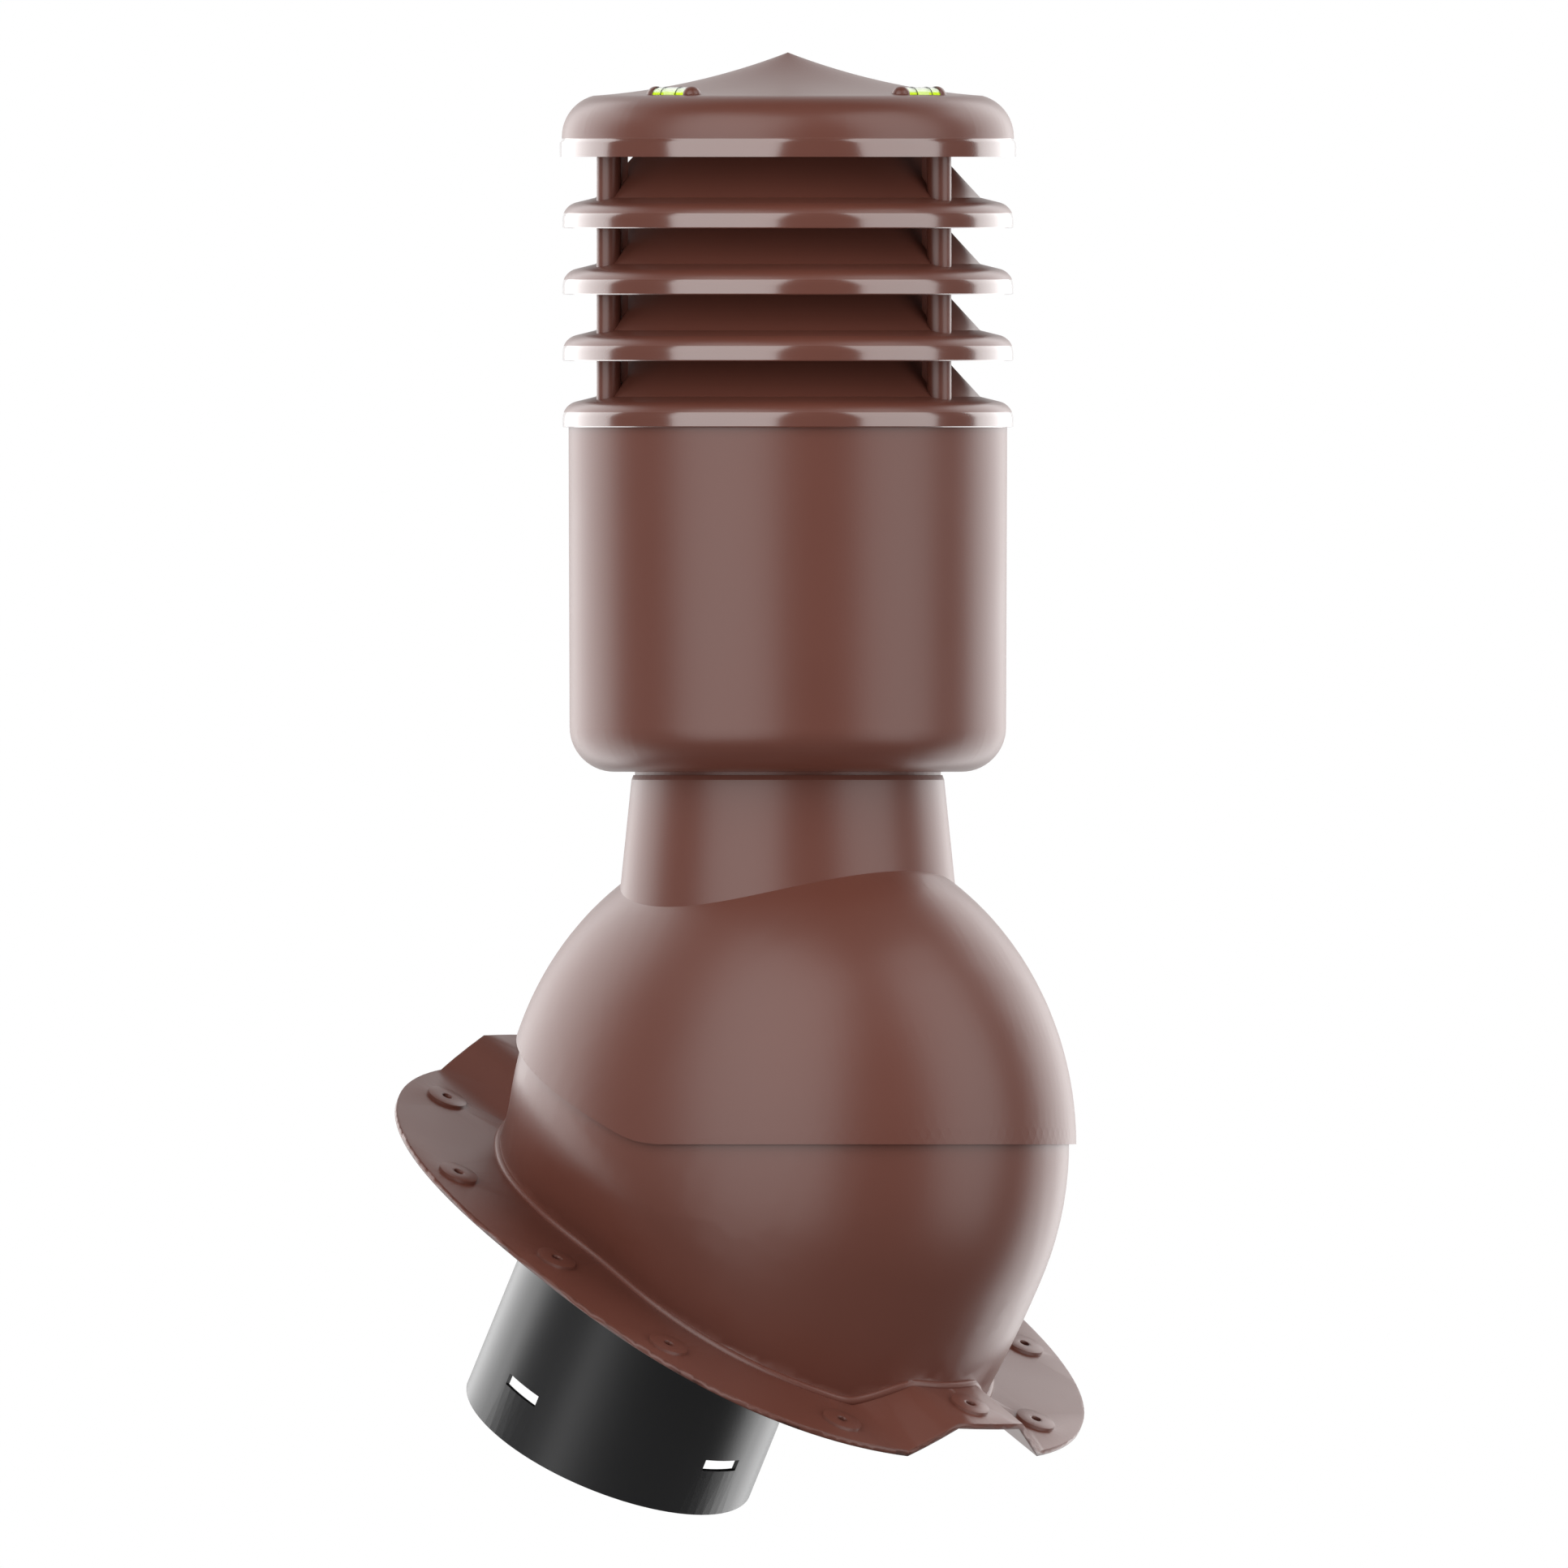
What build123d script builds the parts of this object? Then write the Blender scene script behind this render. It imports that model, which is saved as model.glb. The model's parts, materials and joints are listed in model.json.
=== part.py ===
from build123d import *
import os
from math import asin, atan2, cos, degrees, pi, radians, sin, sqrt, tan

# Adjustable roof vent for a ribbed metal roof: the base lies in the roof slope and the stack
# stands plumb on it. Sizes are in millimetres. +X points down the slope, +Y across it, +Z up.
# The origin is the centre of the roof seat, on the underside of the base flange.

# Roof slope, and how far the stack leans from there: uphill is negative
roof_pitch = 30.0
tilt_low = -10.0
tilt_high = 20.0
seat_to_centre = 68.9
dome_gap = 0.6
running_gap = 0.6
fit_gap = 0.3
touch_gap = 0.1
thread_gap = 0.05

# Base flange with the rib that follows the roof sheet
flange_half_length = 192.0
flange_half_width = 149.6
flange_power = 2.5
flange_thickness = 3.0
rib_half_base = 46.0
rib_half_top = 22.0
rib_height = 17.5
foot_bead_width = 2.4
foot_bead_height = 1.8
pad_radius = 10.0
pad_height = 1.6
screw_hole_radius = 2.5
end_pads = (159.0, 67.5)
corner_pads = (84.5, 124.0)
side_pad = 128.8
rib_pad = 174.0

# Domes: round in side view, narrower across the slope
shell = 3.0
cover_radius = 157.6
cover_half_width = 124.8
skirt_depth = 66.0
skirt_squash = 0.11
skirt_squash_power = 12
skirt_draw = 7.0
skirt_draw_depth = 45.0
crown_height = 102.0
crown_step = 1.0
crown_lap = 2.0
opening_half_width = 78.0
opening_margin = 1.0
cover_edge_rise = 22.0
cover_edge_corner = 19.0
cover_edge_radius = 75.0

# Neck of the tilting dome
neck_top = 182.0
neck_top_radius = 77.1
neck_flare = 5.9
neck_chamfer = 0.9
neck_chamfer_height = 2.4
neck_root = 100.0
neck_socket_depth = 30.0

# Duct pipe and black spigot
pipe_radius = 75.4
pipe_wall = 2.4
pipe_top_drop = 1.0
spigot_radius = 75.0
spigot_wall = 2.5
spigot_offset = 35.6
spigot_reach = 119.3
slot_width = 23.0
slot_height = 6.0
slot_rise = 27.7
stop_rim_radius = 77.5
stop_rim_width = 3.0
stop_rim_drop = 0.2

# Swivel chamber on the spigot, and the drum that turns in it
chamber_inset = 56.0
chamber_half_width = 86.0
chamber_wall = 2.5
side_gap = 1.5
hopper_rise = 43.5
hopper_slope = 51.0
collar_height = 111.0
collar_wall = 2.5
collar_root = 45.0
drum_wall = 2.5
ledge_height = 96.0
pivot_radius = 4.0
pivot_clearance = 0.08
pivot_boss_radius = 16.0
pivot_head_radius = 8.0
pivot_head_height = 3.4
pivot_stick_out = 8.5
nut_size = 6.5
nut_height = 4.5
washer_radius = 14.0
washer_thickness = 1.2
washer_bore = 4.3
side_screw_turns = (-84.0, 84.0, 130.0)
side_boss_radius = 3.5
side_boss_length = 10.0
side_screw_radius = 1.5
side_screw_head = 2.9
seal_drop = 5.0
seal_height = 2.4
seal_depth = 1.2

# Spigot plate, screwed up under two bars inside the skirt
plate_thickness = 2.8
plate_half_length = 131.0
bar_inner = 112.0
bar_thickness = 3.0
boss_radius = 4.5
boss_height = 8.0
plate_screw_spacing = 42.0
plate_screw_radius = 1.6
plate_screw_length = 10.0
plate_head_radius = 3.8
plate_head_height = 2.2
drive_radius = 1.2
drive_depth = 1.0

# Insulated jacket
jacket_radius = 108.1
jacket_draft = 0.6
jacket_wall = 2.5
jacket_foot_radius = 22.0
jacket_bottom = 183.6
jacket_height = 169.8
jacket_overlap = 4.0
insulation_drop = 8.0

# Louvre rings
ring_count = 4
ring_pitch = 32.7
ring_radius = 111.2
ring_wall = 2.6
lip_height = 4.0
lip_rounding = 9.0
shelf_angle = 13.9
shelf_inner_radius = 94.8
cone_angle = 47.5
throat_radius = 75.9
post_count = 3
post_angle = 6.7
post_circle = 95.0
post_radius = 6.0
socket_radius = 7.5
socket_rise = 4.0
web_inner_radius = 85.4
web_thickness = 3.0
tie_radius = 2.5
tie_hole_radius = 2.8
tie_head_radius = 4.5
tie_head_height = 3.2
tie_bite = 14.0

# Cap
cap_step = 35.2
cap_shell = 3.0
cap_band_radius = 112.6
cap_band_height = 6.9
cap_band_step = 1.2
cap_band_bevel = 1.4
cap_shoulder_radius = 20.8
cap_shoulder_rise = 10.0
cap_shoulder_turn = 75.2
cap_peak_rise = 51.5
cap_dip_radius = 46.7
cap_dip_rise = 37.3

# Level vials let into the cap, one along the slope and one across it
level_circle = 85.3
level_offset = 5.9
level_rise = 29.9
vial_radius = 4.45
vial_wall = 0.7
vial_length = 24.4
vial_end = 1.0
vial_end_radius = 4.9
cradle_wall = 1.6
pocket_gap = 0.15
bubble_length = 7.0
bubble_depth = 2.6

# Facts that follow from the sizes above
pitch = radians(roof_pitch)
down_slope = Vector(cos(pitch), 0, -sin(pitch))
roof_normal = Vector(sin(pitch), 0, cos(pitch))
dome_centre = roof_normal * seat_to_centre
roof_plane = Plane(origin=(0, 0, 0), x_dir=down_slope, z_dir=roof_normal)
roof_section = Plane(origin=(0, 0, 0), x_dir=down_slope, z_dir=(0, -1, 0))
rib_plane = Plane(origin=(0, 0, 0), x_dir=(0, 1, 0), z_dir=down_slope)
stack_plane = Plane(origin=dome_centre, x_dir=(1, 0, 0), z_dir=(0, 0, 1))
stack_section = Plane(origin=dome_centre, x_dir=(1, 0, 0), z_dir=(0, -1, 0))
dome_section = Plane(origin=dome_centre, x_dir=(0, 1, 0), z_dir=(0, 0, 1))
equator = Plane(origin=dome_centre, x_dir=down_slope, z_dir=roof_normal)
stack_axis = Axis(dome_centre, (0, 0, 1))
tilt_axis = Axis(dome_centre, (0, 1, 0))

base_radius = cover_radius - shell - dome_gap
base_half_width = cover_half_width - shell - dome_gap
chamber_radius = base_radius - chamber_inset
bore_radius = pipe_radius - pipe_wall
socket_bore = pipe_radius + fit_gap
collar_radius = socket_bore + collar_wall
chamber_inner = chamber_radius - chamber_wall
stop_rim_level = seat_to_centre - chamber_radius - stop_rim_drop
chamber_inner_half = chamber_half_width - chamber_wall
hopper_corner = sqrt(chamber_radius ** 2 - (seat_to_centre - hopper_rise) ** 2)
drum_radius = chamber_inner - running_gap
drum_half_width = chamber_inner_half - side_gap
drum_inner_half = drum_half_width - drum_wall
bar_bottom = plate_thickness + touch_gap
bar_middle = (bar_inner + plate_half_length) / 2
lid_bottom = jacket_bottom + jacket_height
jacket_top = lid_bottom + jacket_overlap
throat_top = (lip_height + lip_rounding * cos(radians(shelf_angle))
              + (ring_radius - lip_rounding + lip_rounding * sin(radians(shelf_angle)) - shelf_inner_radius)
              * tan(radians(shelf_angle)) + (shelf_inner_radius - throat_radius) * tan(radians(cone_angle)))
pipe_top = lid_bottom + throat_top - pipe_top_drop
post_top = ring_pitch + socket_rise - touch_gap
top_socket = lid_bottom + ring_count * ring_pitch + socket_rise
cap_rim = lid_bottom + (ring_count - 1) * ring_pitch + cap_step
vial_half = vial_length / 2

chamber_plane = roof_section.offset(-chamber_inner_half - touch_gap)
side_face = Plane(origin=(0, chamber_half_width, 0), x_dir=down_slope, z_dir=(0, 1, 0))
pivot_plane = Plane(origin=dome_centre, x_dir=(1, 0, 0), z_dir=(0, 1, 0))
level_plane_x = Plane(
    origin=dome_centre + Vector(level_offset, -level_circle, cap_rim + level_rise),
    x_dir=(1, 0, 0), z_dir=(0, 0, 1))
level_plane_y = Plane(
    origin=dome_centre + Vector(level_circle, level_offset, cap_rim + level_rise),
    x_dir=(0, 1, 0), z_dir=(0, 0, 1))


def flange_outline(steps=40):
    """Points of the flange's rounded outline, a superellipse."""
    points = []
    for step in range(steps):
        turn = 2 * pi * step / steps
        along = abs(cos(turn)) ** (2 / flange_power) * (1 if cos(turn) > 0 else -1)
        across = abs(sin(turn)) ** (2 / flange_power) * (1 if sin(turn) > 0 else -1)
        points.append((flange_half_length * along, flange_half_width * across))
    return points


def skirt_outline(depth, inset, steps=20):
    """Points of the base's section at a depth below the dome centre, or above it where negative.

    Above the centre it is the dome's oval. Below, its sides are flattened, and it is drawn in uphill
    so that the leaning cover comes down over it.
    """
    radius = base_radius - inset
    half_width = (base_half_width - inset) * sqrt(1 - (depth / radius) ** 2)
    below = max(depth, 0)
    squash = skirt_squash * (below / skirt_depth) ** 2
    draw = skirt_draw * (min(below, skirt_draw_depth) / skirt_draw_depth) ** 2
    points = []
    for step in range(steps):
        turn = 2 * pi * step / steps
        half_length = sqrt(radius ** 2 - (depth - below) ** 2) - (draw if cos(turn) < 0 else 0)
        flat = 1 - squash * abs(sin(turn)) ** skirt_squash_power
        points.append((half_length * cos(turn), half_width * sin(turn) * flat))
    return points


def spheroid(radius, half_width):
    """Solid of revolution about the tilt axis."""
    with BuildPart() as body:
        with BuildSketch(dome_section):
            Ellipse(half_width, radius)
            split(bisect_by=Plane.XZ)
        revolve(axis=tilt_axis)
    return body.part


def flank(inset, highest, lowest, sections=12):
    """The base's body as a loft from one depth below the dome centre to another."""
    with BuildPart() as body:
        for section in range(sections):
            depth = highest + (lowest - highest) * section / (sections - 1)
            with BuildSketch(roof_plane.offset(seat_to_centre - depth)):
                with BuildLine():
                    Spline(*skirt_outline(depth, inset), periodic=True)
                make_face()
        loft()
    return body.part


def rib_line(raise_by, inset):
    """The sheet's bent line across the slope, from edge to edge, as corner points."""
    rib_slope = atan2(rib_height, rib_half_base - rib_half_top)
    corner = inset * tan(rib_slope / 2)
    edge = 1.2 * flange_half_width
    return [
        (-edge, raise_by), (corner - rib_half_base, raise_by),
        (corner - rib_half_top, raise_by + rib_height), (rib_half_top - corner, raise_by + rib_height),
        (rib_half_base - corner, raise_by), (edge, raise_by)]


def ribbed_sheet(bottom, top, bottom_line, top_line):
    """A sheet with the roof's rib in it, run along the slope, between two bent lines."""
    with BuildPart() as body:
        with BuildSketch(rib_plane):
            with BuildLine():
                Polyline(*rib_line(bottom, bottom_line), *reversed(rib_line(top, top_line)), close=True)
            make_face()
        extrude(amount=1.2 * flange_half_length, both=True)
    return body.part


def wedge(start, end, half_width, reach):
    """Wedge about the tilt axis between two angles from plumb, downhill positive."""
    middle = radians((start + end) / 2)
    with BuildPart() as body:
        with BuildSketch(stack_section):
            with BuildLine():
                Polyline(
                    (0, 0), (reach * sin(radians(start)), reach * cos(radians(start))),
                    (1.4 * reach * sin(middle), 1.4 * reach * cos(middle)),
                    (reach * sin(radians(end)), reach * cos(radians(end))), close=True)
            make_face()
        extrude(amount=half_width, both=True)
    return body.part


# Fixed base: sheet, pads, skirt, dome and two bars for the spigot plate
pipe_swing = degrees(asin((pipe_radius + opening_margin) / (base_radius - shell)))
opening_low = -pipe_swing + tilt_low - opening_margin
opening_high = pipe_swing + tilt_high + opening_margin
pad_places = [(x * end_pads[0], y * end_pads[1]) for x in (-1, 1) for y in (-1, 1)]
pad_places += [(x * corner_pads[0], y * corner_pads[1]) for x in (-1, 1) for y in (-1, 1)]
pad_places += [(0, -side_pad), (0, side_pad)]
rib_pad_places = [(-rib_pad, 0), (rib_pad, 0)]
plate_screw_places = [(x * bar_middle, y * plate_screw_spacing) for x in (-1, 1) for y in (-1, 0, 1)]

flange_sheet = ribbed_sheet(0, flange_thickness, flange_thickness, 0)
bead_sheet = ribbed_sheet(flange_thickness / 2, flange_thickness + foot_bead_height,
                          flange_thickness / 2, -foot_bead_height)
under_sheet = ribbed_sheet(-seat_to_centre, 0, flange_thickness, flange_thickness)
flank_outer = flank(0, -crown_height - crown_lap, seat_to_centre)
flank_inner = flank(shell, -crown_height - 2 * crown_lap, 1.1 * seat_to_centre)
crown_outer = spheroid(base_radius - crown_step, base_half_width - crown_step)
crown_inner = spheroid(base_radius - crown_step - shell, base_half_width - crown_step - shell)
dome_opening = wedge(opening_low, opening_high, opening_half_width, 1.3 * cover_radius)

with BuildPart() as foot_bead:
    with BuildSketch(roof_plane):
        with BuildLine():
            Spline(*skirt_outline(skirt_depth, -foot_bead_width), periodic=True)
        make_face()
    extrude(amount=seat_to_centre)
    add(bead_sheet, mode=Mode.INTERSECT)
    add(flank_inner, mode=Mode.SUBTRACT)

with BuildPart() as plate_bars:
    with BuildSketch(roof_plane.offset(bar_bottom)):
        with Locations((-bar_middle, 0), (bar_middle, 0)):
            Rectangle(plate_half_length - bar_inner, 2 * base_half_width)
    extrude(amount=bar_thickness)
    add(flank_outer, mode=Mode.INTERSECT)

with BuildPart() as flank_wall:
    add(flank_outer)
    add(flank_inner, mode=Mode.SUBTRACT)
    add(under_sheet, mode=Mode.SUBTRACT)
    add(dome_opening, mode=Mode.SUBTRACT)

with BuildPart() as crown_wall:
    add(crown_outer)
    with BuildSketch(equator.offset(crown_height)):
        Circle(cover_radius)
    extrude(amount=-2 * cover_radius, mode=Mode.SUBTRACT)
    add(crown_inner, mode=Mode.SUBTRACT)
    add(dome_opening, mode=Mode.SUBTRACT)

with BuildPart() as roof_base:
    with BuildSketch(roof_plane.offset(-flange_thickness)):
        with BuildLine():
            Spline(*flange_outline(), periodic=True)
        make_face()
    extrude(amount=3 * rib_height)
    add(flange_sheet, mode=Mode.INTERSECT)
    with BuildSketch(roof_plane.offset(flange_thickness / 2)):
        with Locations(*pad_places):
            Circle(pad_radius)
    extrude(amount=flange_thickness / 2 + pad_height)
    with BuildSketch(roof_plane.offset(flange_thickness / 2 + rib_height)):
        with Locations(*rib_pad_places):
            Circle(pad_radius)
    extrude(amount=flange_thickness / 2 + pad_height)
    with BuildSketch(roof_plane.offset(-flange_thickness)):
        with Locations(*pad_places, *rib_pad_places):
            Circle(screw_hole_radius)
    extrude(amount=3 * rib_height, mode=Mode.SUBTRACT)
    add(flank_inner, mode=Mode.SUBTRACT)
    add(flank_wall.part)
    add(foot_bead.part)
    add(crown_wall.part)
    add(plate_bars.part)
    with BuildSketch(roof_plane.offset(bar_bottom + bar_thickness / 2)):
        with Locations(*plate_screw_places):
            Circle(boss_radius)
    extrude(amount=bar_thickness / 2 + boss_height)
    with BuildSketch(roof_plane):
        with Locations(*plate_screw_places):
            Circle(plate_screw_radius + thread_gap)
    extrude(amount=bar_bottom + bar_thickness + boss_height / 2, mode=Mode.SUBTRACT)
roof_base.part.label = "roof_base"


def tilt_disc(radius, half_width):
    """Full cylinder about the tilt axis."""
    with BuildPart() as body:
        with BuildSketch(stack_section):
            Circle(radius)
        extrude(amount=half_width, both=True)
    return body.part


def spigot_tube(radius, inset):
    """The spigot's tube, carried up into the chamber and topped by the hopper's sloping roof."""
    slope = radians(hopper_slope)
    top = hopper_rise - inset
    corner = hopper_corner - inset * tan(slope / 2)
    with BuildPart() as body:
        with BuildSketch(roof_plane.offset(-spigot_reach)):
            with Locations((-spigot_offset, 0)):
                Circle(radius)
        extrude(amount=spigot_reach + top)
        with BuildSketch(roof_section):
            with BuildLine():
                Polyline(
                    (-corner, top), (-corner - radius, top), (-corner - radius, top - radius * tan(slope)),
                    close=True)
            make_face()
        extrude(amount=radius, both=True, mode=Mode.SUBTRACT)
    return body.part


# Spigot, its plate and the chamber that the drum turns in, one moulding
collar_swing = degrees(asin(collar_radius / chamber_inner))
chamber_low = -collar_swing + tilt_low - opening_margin
chamber_high = collar_swing + tilt_high + opening_margin
side_screw_circle = chamber_radius + side_boss_radius - chamber_wall
side_screw_places = [
    (side_screw_circle * sin(radians(turn - roof_pitch)),
     seat_to_centre + side_screw_circle * cos(radians(turn - roof_pitch))) for turn in side_screw_turns]
slot_level = slot_rise - spigot_reach
slot_plane = Plane(origin=down_slope * -spigot_offset, x_dir=(0, 1, 0), z_dir=down_slope)

chamber_disc = tilt_disc(chamber_radius, chamber_half_width)
chamber_void = tilt_disc(chamber_inner, chamber_inner_half)
tube_outer = spigot_tube(spigot_radius, 0)
tube_bore = spigot_tube(spigot_radius - spigot_wall, spigot_wall)
chamber_opening = wedge(chamber_low, chamber_high, chamber_inner_half, 1.3 * chamber_radius)

with BuildPart() as duct_spigot:
    add(chamber_disc)
    with BuildSketch(chamber_plane):
        with Locations(*side_screw_places):
            Circle(side_boss_radius)
    extrude(amount=side_boss_length)
    with BuildSketch(roof_plane):
        with BuildLine():
            Spline(*skirt_outline(seat_to_centre, shell + 2 * fit_gap), periodic=True)
        make_face()
        Rectangle(2 * plate_half_length, 2 * base_half_width, mode=Mode.INTERSECT)
        with Locations(*plate_screw_places):
            Circle(plate_screw_radius + fit_gap, mode=Mode.SUBTRACT)
    extrude(amount=plate_thickness)
    add(tube_outer)
    with BuildSketch(roof_plane.offset(stop_rim_level)):
        with Locations((-spigot_offset, 0)):
            Circle(stop_rim_radius)
            Circle(spigot_radius - spigot_wall / 2, mode=Mode.SUBTRACT)
    extrude(amount=stop_rim_width)
    add(chamber_void, mode=Mode.SUBTRACT)
    add(tube_bore, mode=Mode.SUBTRACT)
    add(chamber_opening, mode=Mode.SUBTRACT)
    with BuildSketch(roof_section.offset(-chamber_inner_half)):
        with Locations((0, plate_thickness + 2 * chamber_radius)):
            Rectangle(4 * chamber_radius, 4 * chamber_radius)
    extrude(amount=-2 * chamber_wall, mode=Mode.SUBTRACT)
    with BuildSketch(chamber_plane):
        with Locations(*side_screw_places):
            Circle(side_screw_radius + thread_gap)
    extrude(amount=side_boss_length - chamber_wall, mode=Mode.SUBTRACT)
    with BuildSketch(stack_section):
        Circle(pivot_radius + pivot_clearance)
    extrude(amount=2 * chamber_half_width, mode=Mode.SUBTRACT)
    with BuildSketch(slot_plane):
        with Locations((0, slot_level)):
            Rectangle(slot_width, slot_height)
    extrude(amount=2 * spigot_radius, both=True, mode=Mode.SUBTRACT)
    with BuildSketch(roof_section):
        with Locations((-spigot_offset, slot_level)):
            Rectangle(slot_width, slot_height)
    extrude(amount=2 * spigot_radius, both=True, mode=Mode.SUBTRACT)
duct_spigot.part.label = "duct_spigot"

with BuildPart() as chamber_side:
    with BuildSketch(chamber_plane):
        with Locations((0, seat_to_centre)):
            Circle(chamber_radius)
        with Locations(*side_screw_places):
            Circle(side_boss_radius)
        with Locations((0, plate_thickness + touch_gap + 2 * chamber_radius)):
            Rectangle(4 * chamber_radius, 4 * chamber_radius, mode=Mode.INTERSECT)
        with Locations((0, seat_to_centre)):
            Circle(pivot_radius + pivot_clearance, mode=Mode.SUBTRACT)
        with Locations(*side_screw_places):
            Circle(side_screw_radius + fit_gap, mode=Mode.SUBTRACT)
    extrude(amount=touch_gap - chamber_wall)
    with BuildSketch(side_face):
        with Locations(*[(along, -up) for along, up in side_screw_places]):
            Circle(side_screw_head + fit_gap)
    extrude(amount=side_screw_radius - side_screw_head, taper=45, mode=Mode.SUBTRACT)
chamber_side.part.label = "chamber_side"

with BuildPart() as chamber_screws:
    with BuildSketch(side_face):
        with Locations(*[(along, -up) for along, up in side_screw_places]):
            Circle(side_screw_head)
    extrude(amount=side_screw_radius - side_screw_head, taper=45)
    with BuildSketch(side_face):
        with Locations(*[(along, -up) for along, up in side_screw_places]):
            Circle(side_screw_radius)
    extrude(amount=-side_boss_length + chamber_wall)
    with BuildSketch(side_face):
        with Locations(*[(along, -up) for along, up in side_screw_places]):
            RegularPolygon(drive_radius, 6)
    extrude(amount=-drive_depth, mode=Mode.SUBTRACT)
chamber_screws.part.label = "chamber_screws"

with BuildPart() as plate_screws:
    with BuildSketch(roof_plane.offset(-plate_head_height)):
        with Locations(*plate_screw_places):
            Circle(plate_head_radius)
            RegularPolygon(drive_radius, 6, mode=Mode.SUBTRACT)
    extrude(amount=plate_head_height)
    with BuildSketch(roof_plane.offset(drive_depth - plate_head_height)):
        with Locations(*plate_screw_places):
            Circle(plate_screw_radius)
    extrude(amount=plate_screw_length)
plate_screws.part.label = "plate_screws"

# Tilt pivot: bolt, nut and friction washer on each side
with BuildPart() as pivot_bolts:
    with BuildSketch(pivot_plane.offset(drum_inner_half - touch_gap - pivot_head_height)):
        Circle(pivot_head_radius)
        RegularPolygon(pivot_radius, 6, mode=Mode.SUBTRACT)
    extrude(amount=pivot_head_height)
    with BuildSketch(pivot_plane.offset(drum_inner_half - pivot_head_height / 2)):
        Circle(pivot_radius)
    extrude(amount=chamber_half_width + pivot_stick_out - drum_inner_half + pivot_head_height / 2)
    mirror(about=Plane.XZ)
pivot_bolts.part.label = "pivot_bolts"

with BuildPart() as pivot_nuts:
    with BuildSketch(pivot_plane.offset(chamber_half_width + touch_gap)):
        RegularPolygon(nut_size, 6, major_radius=False)
        Circle(pivot_radius + thread_gap, mode=Mode.SUBTRACT)
    extrude(amount=nut_height)
    mirror(about=Plane.XZ)
pivot_nuts.part.label = "pivot_nuts"

with BuildPart() as friction_washers:
    with BuildSketch(pivot_plane.offset(drum_half_width + (side_gap - washer_thickness) / 2)):
        Circle(washer_radius)
        Circle(washer_bore, mode=Mode.SUBTRACT)
    extrude(amount=washer_thickness)
    mirror(about=Plane.XZ)
friction_washers.part.label = "friction_washers"

# Drum: half a cylinder about the tilt axis, with the collar that takes the pipe
seal_bottom = collar_height - seal_drop - seal_height

with BuildPart() as swivel_drum:
    with BuildSketch(stack_section):
        Circle(drum_radius)
        Rectangle(2 * drum_radius, drum_radius, align=(Align.CENTER, Align.MAX), mode=Mode.SUBTRACT)
        Circle(pivot_boss_radius)
    extrude(amount=drum_half_width, both=True)
    with BuildSketch(stack_plane.offset(collar_root)):
        Circle(collar_radius)
    extrude(amount=collar_height - collar_root)
    with BuildSketch(stack_section):
        Circle(drum_radius - drum_wall)
    extrude(amount=drum_inner_half, both=True, mode=Mode.SUBTRACT)
    with BuildSketch(stack_plane.offset(collar_root)):
        Circle(bore_radius)
    extrude(amount=collar_height - collar_root, mode=Mode.SUBTRACT)
    with BuildSketch(stack_plane.offset(ledge_height)):
        Circle(socket_bore)
    extrude(amount=collar_height - ledge_height, mode=Mode.SUBTRACT)
    with BuildSketch(stack_plane.offset(seal_bottom)):
        Circle(socket_bore + seal_depth)
    extrude(amount=seal_height, mode=Mode.SUBTRACT)
    with BuildSketch(stack_section):
        Circle(pivot_radius + pivot_clearance)
    extrude(amount=2 * drum_half_width, both=True, mode=Mode.SUBTRACT)
swivel_drum.part.label = "swivel_drum"

with BuildPart() as pipe_seal:
    with BuildSketch(stack_plane.offset(seal_bottom + touch_gap)):
        Circle(socket_bore + seal_depth - thread_gap)
        Circle(pipe_radius + thread_gap, mode=Mode.SUBTRACT)
    extrude(amount=seal_height - 2 * touch_gap)
pipe_seal.part.label = "pipe_seal"

with BuildPart() as inner_pipe:
    with BuildSketch(stack_plane.offset(ledge_height + touch_gap)):
        Circle(pipe_radius)
        Circle(bore_radius, mode=Mode.SUBTRACT)
    extrude(amount=pipe_top - ledge_height - touch_gap)
inner_pipe.part.label = "inner_pipe"


def neck_radius(height):
    """Outside radius of the flared neck at a height above the dome centre."""
    return neck_top_radius + (neck_top - neck_chamfer_height - height) * tan(radians(neck_flare))


# Tilting dome and its neck, one moulding
cover_outer = spheroid(cover_radius, cover_half_width)
cover_inner = spheroid(cover_radius - shell, cover_half_width - shell)
edge_reach = 1.2 * cover_radius
socket_floor = neck_top - neck_socket_depth

with BuildPart() as dome_cover:
    add(cover_outer)
    with BuildSketch(stack_section) as below_edge:
        with BuildLine():
            Polyline(
                (cover_edge_corner, 0), (edge_reach, 0), (edge_reach, -edge_reach),
                (-edge_reach, -edge_reach),
                (-edge_reach, (edge_reach + cover_edge_corner) * tan(radians(cover_edge_rise))), close=True)
        make_face()
        fillet(below_edge.vertices().sort_by_distance((cover_edge_corner, 0))[0], radius=cover_edge_radius)
    extrude(amount=cover_half_width, both=True, mode=Mode.SUBTRACT)
    with BuildSketch(stack_section):
        with BuildLine():
            Polyline(
                (0, neck_root), (neck_radius(neck_root), neck_root),
                (neck_top_radius, neck_top - neck_chamfer_height), (neck_top_radius - neck_chamfer, neck_top),
                (0, neck_top), close=True)
        make_face()
    revolve(axis=stack_axis)
    add(cover_inner, mode=Mode.SUBTRACT)
    with BuildSketch(stack_section):
        with BuildLine():
            Polyline(
                (0, neck_root), (neck_radius(neck_root) - shell, neck_root),
                (neck_radius(socket_floor) - shell, socket_floor), (socket_bore, socket_floor),
                (socket_bore, neck_top), (0, neck_top), close=True)
        make_face()
    revolve(axis=stack_axis, mode=Mode.SUBTRACT)
dome_cover.part.label = "dome_cover"

# Insulated jacket round the pipe
jacket_foot = jacket_radius - jacket_draft

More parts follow.
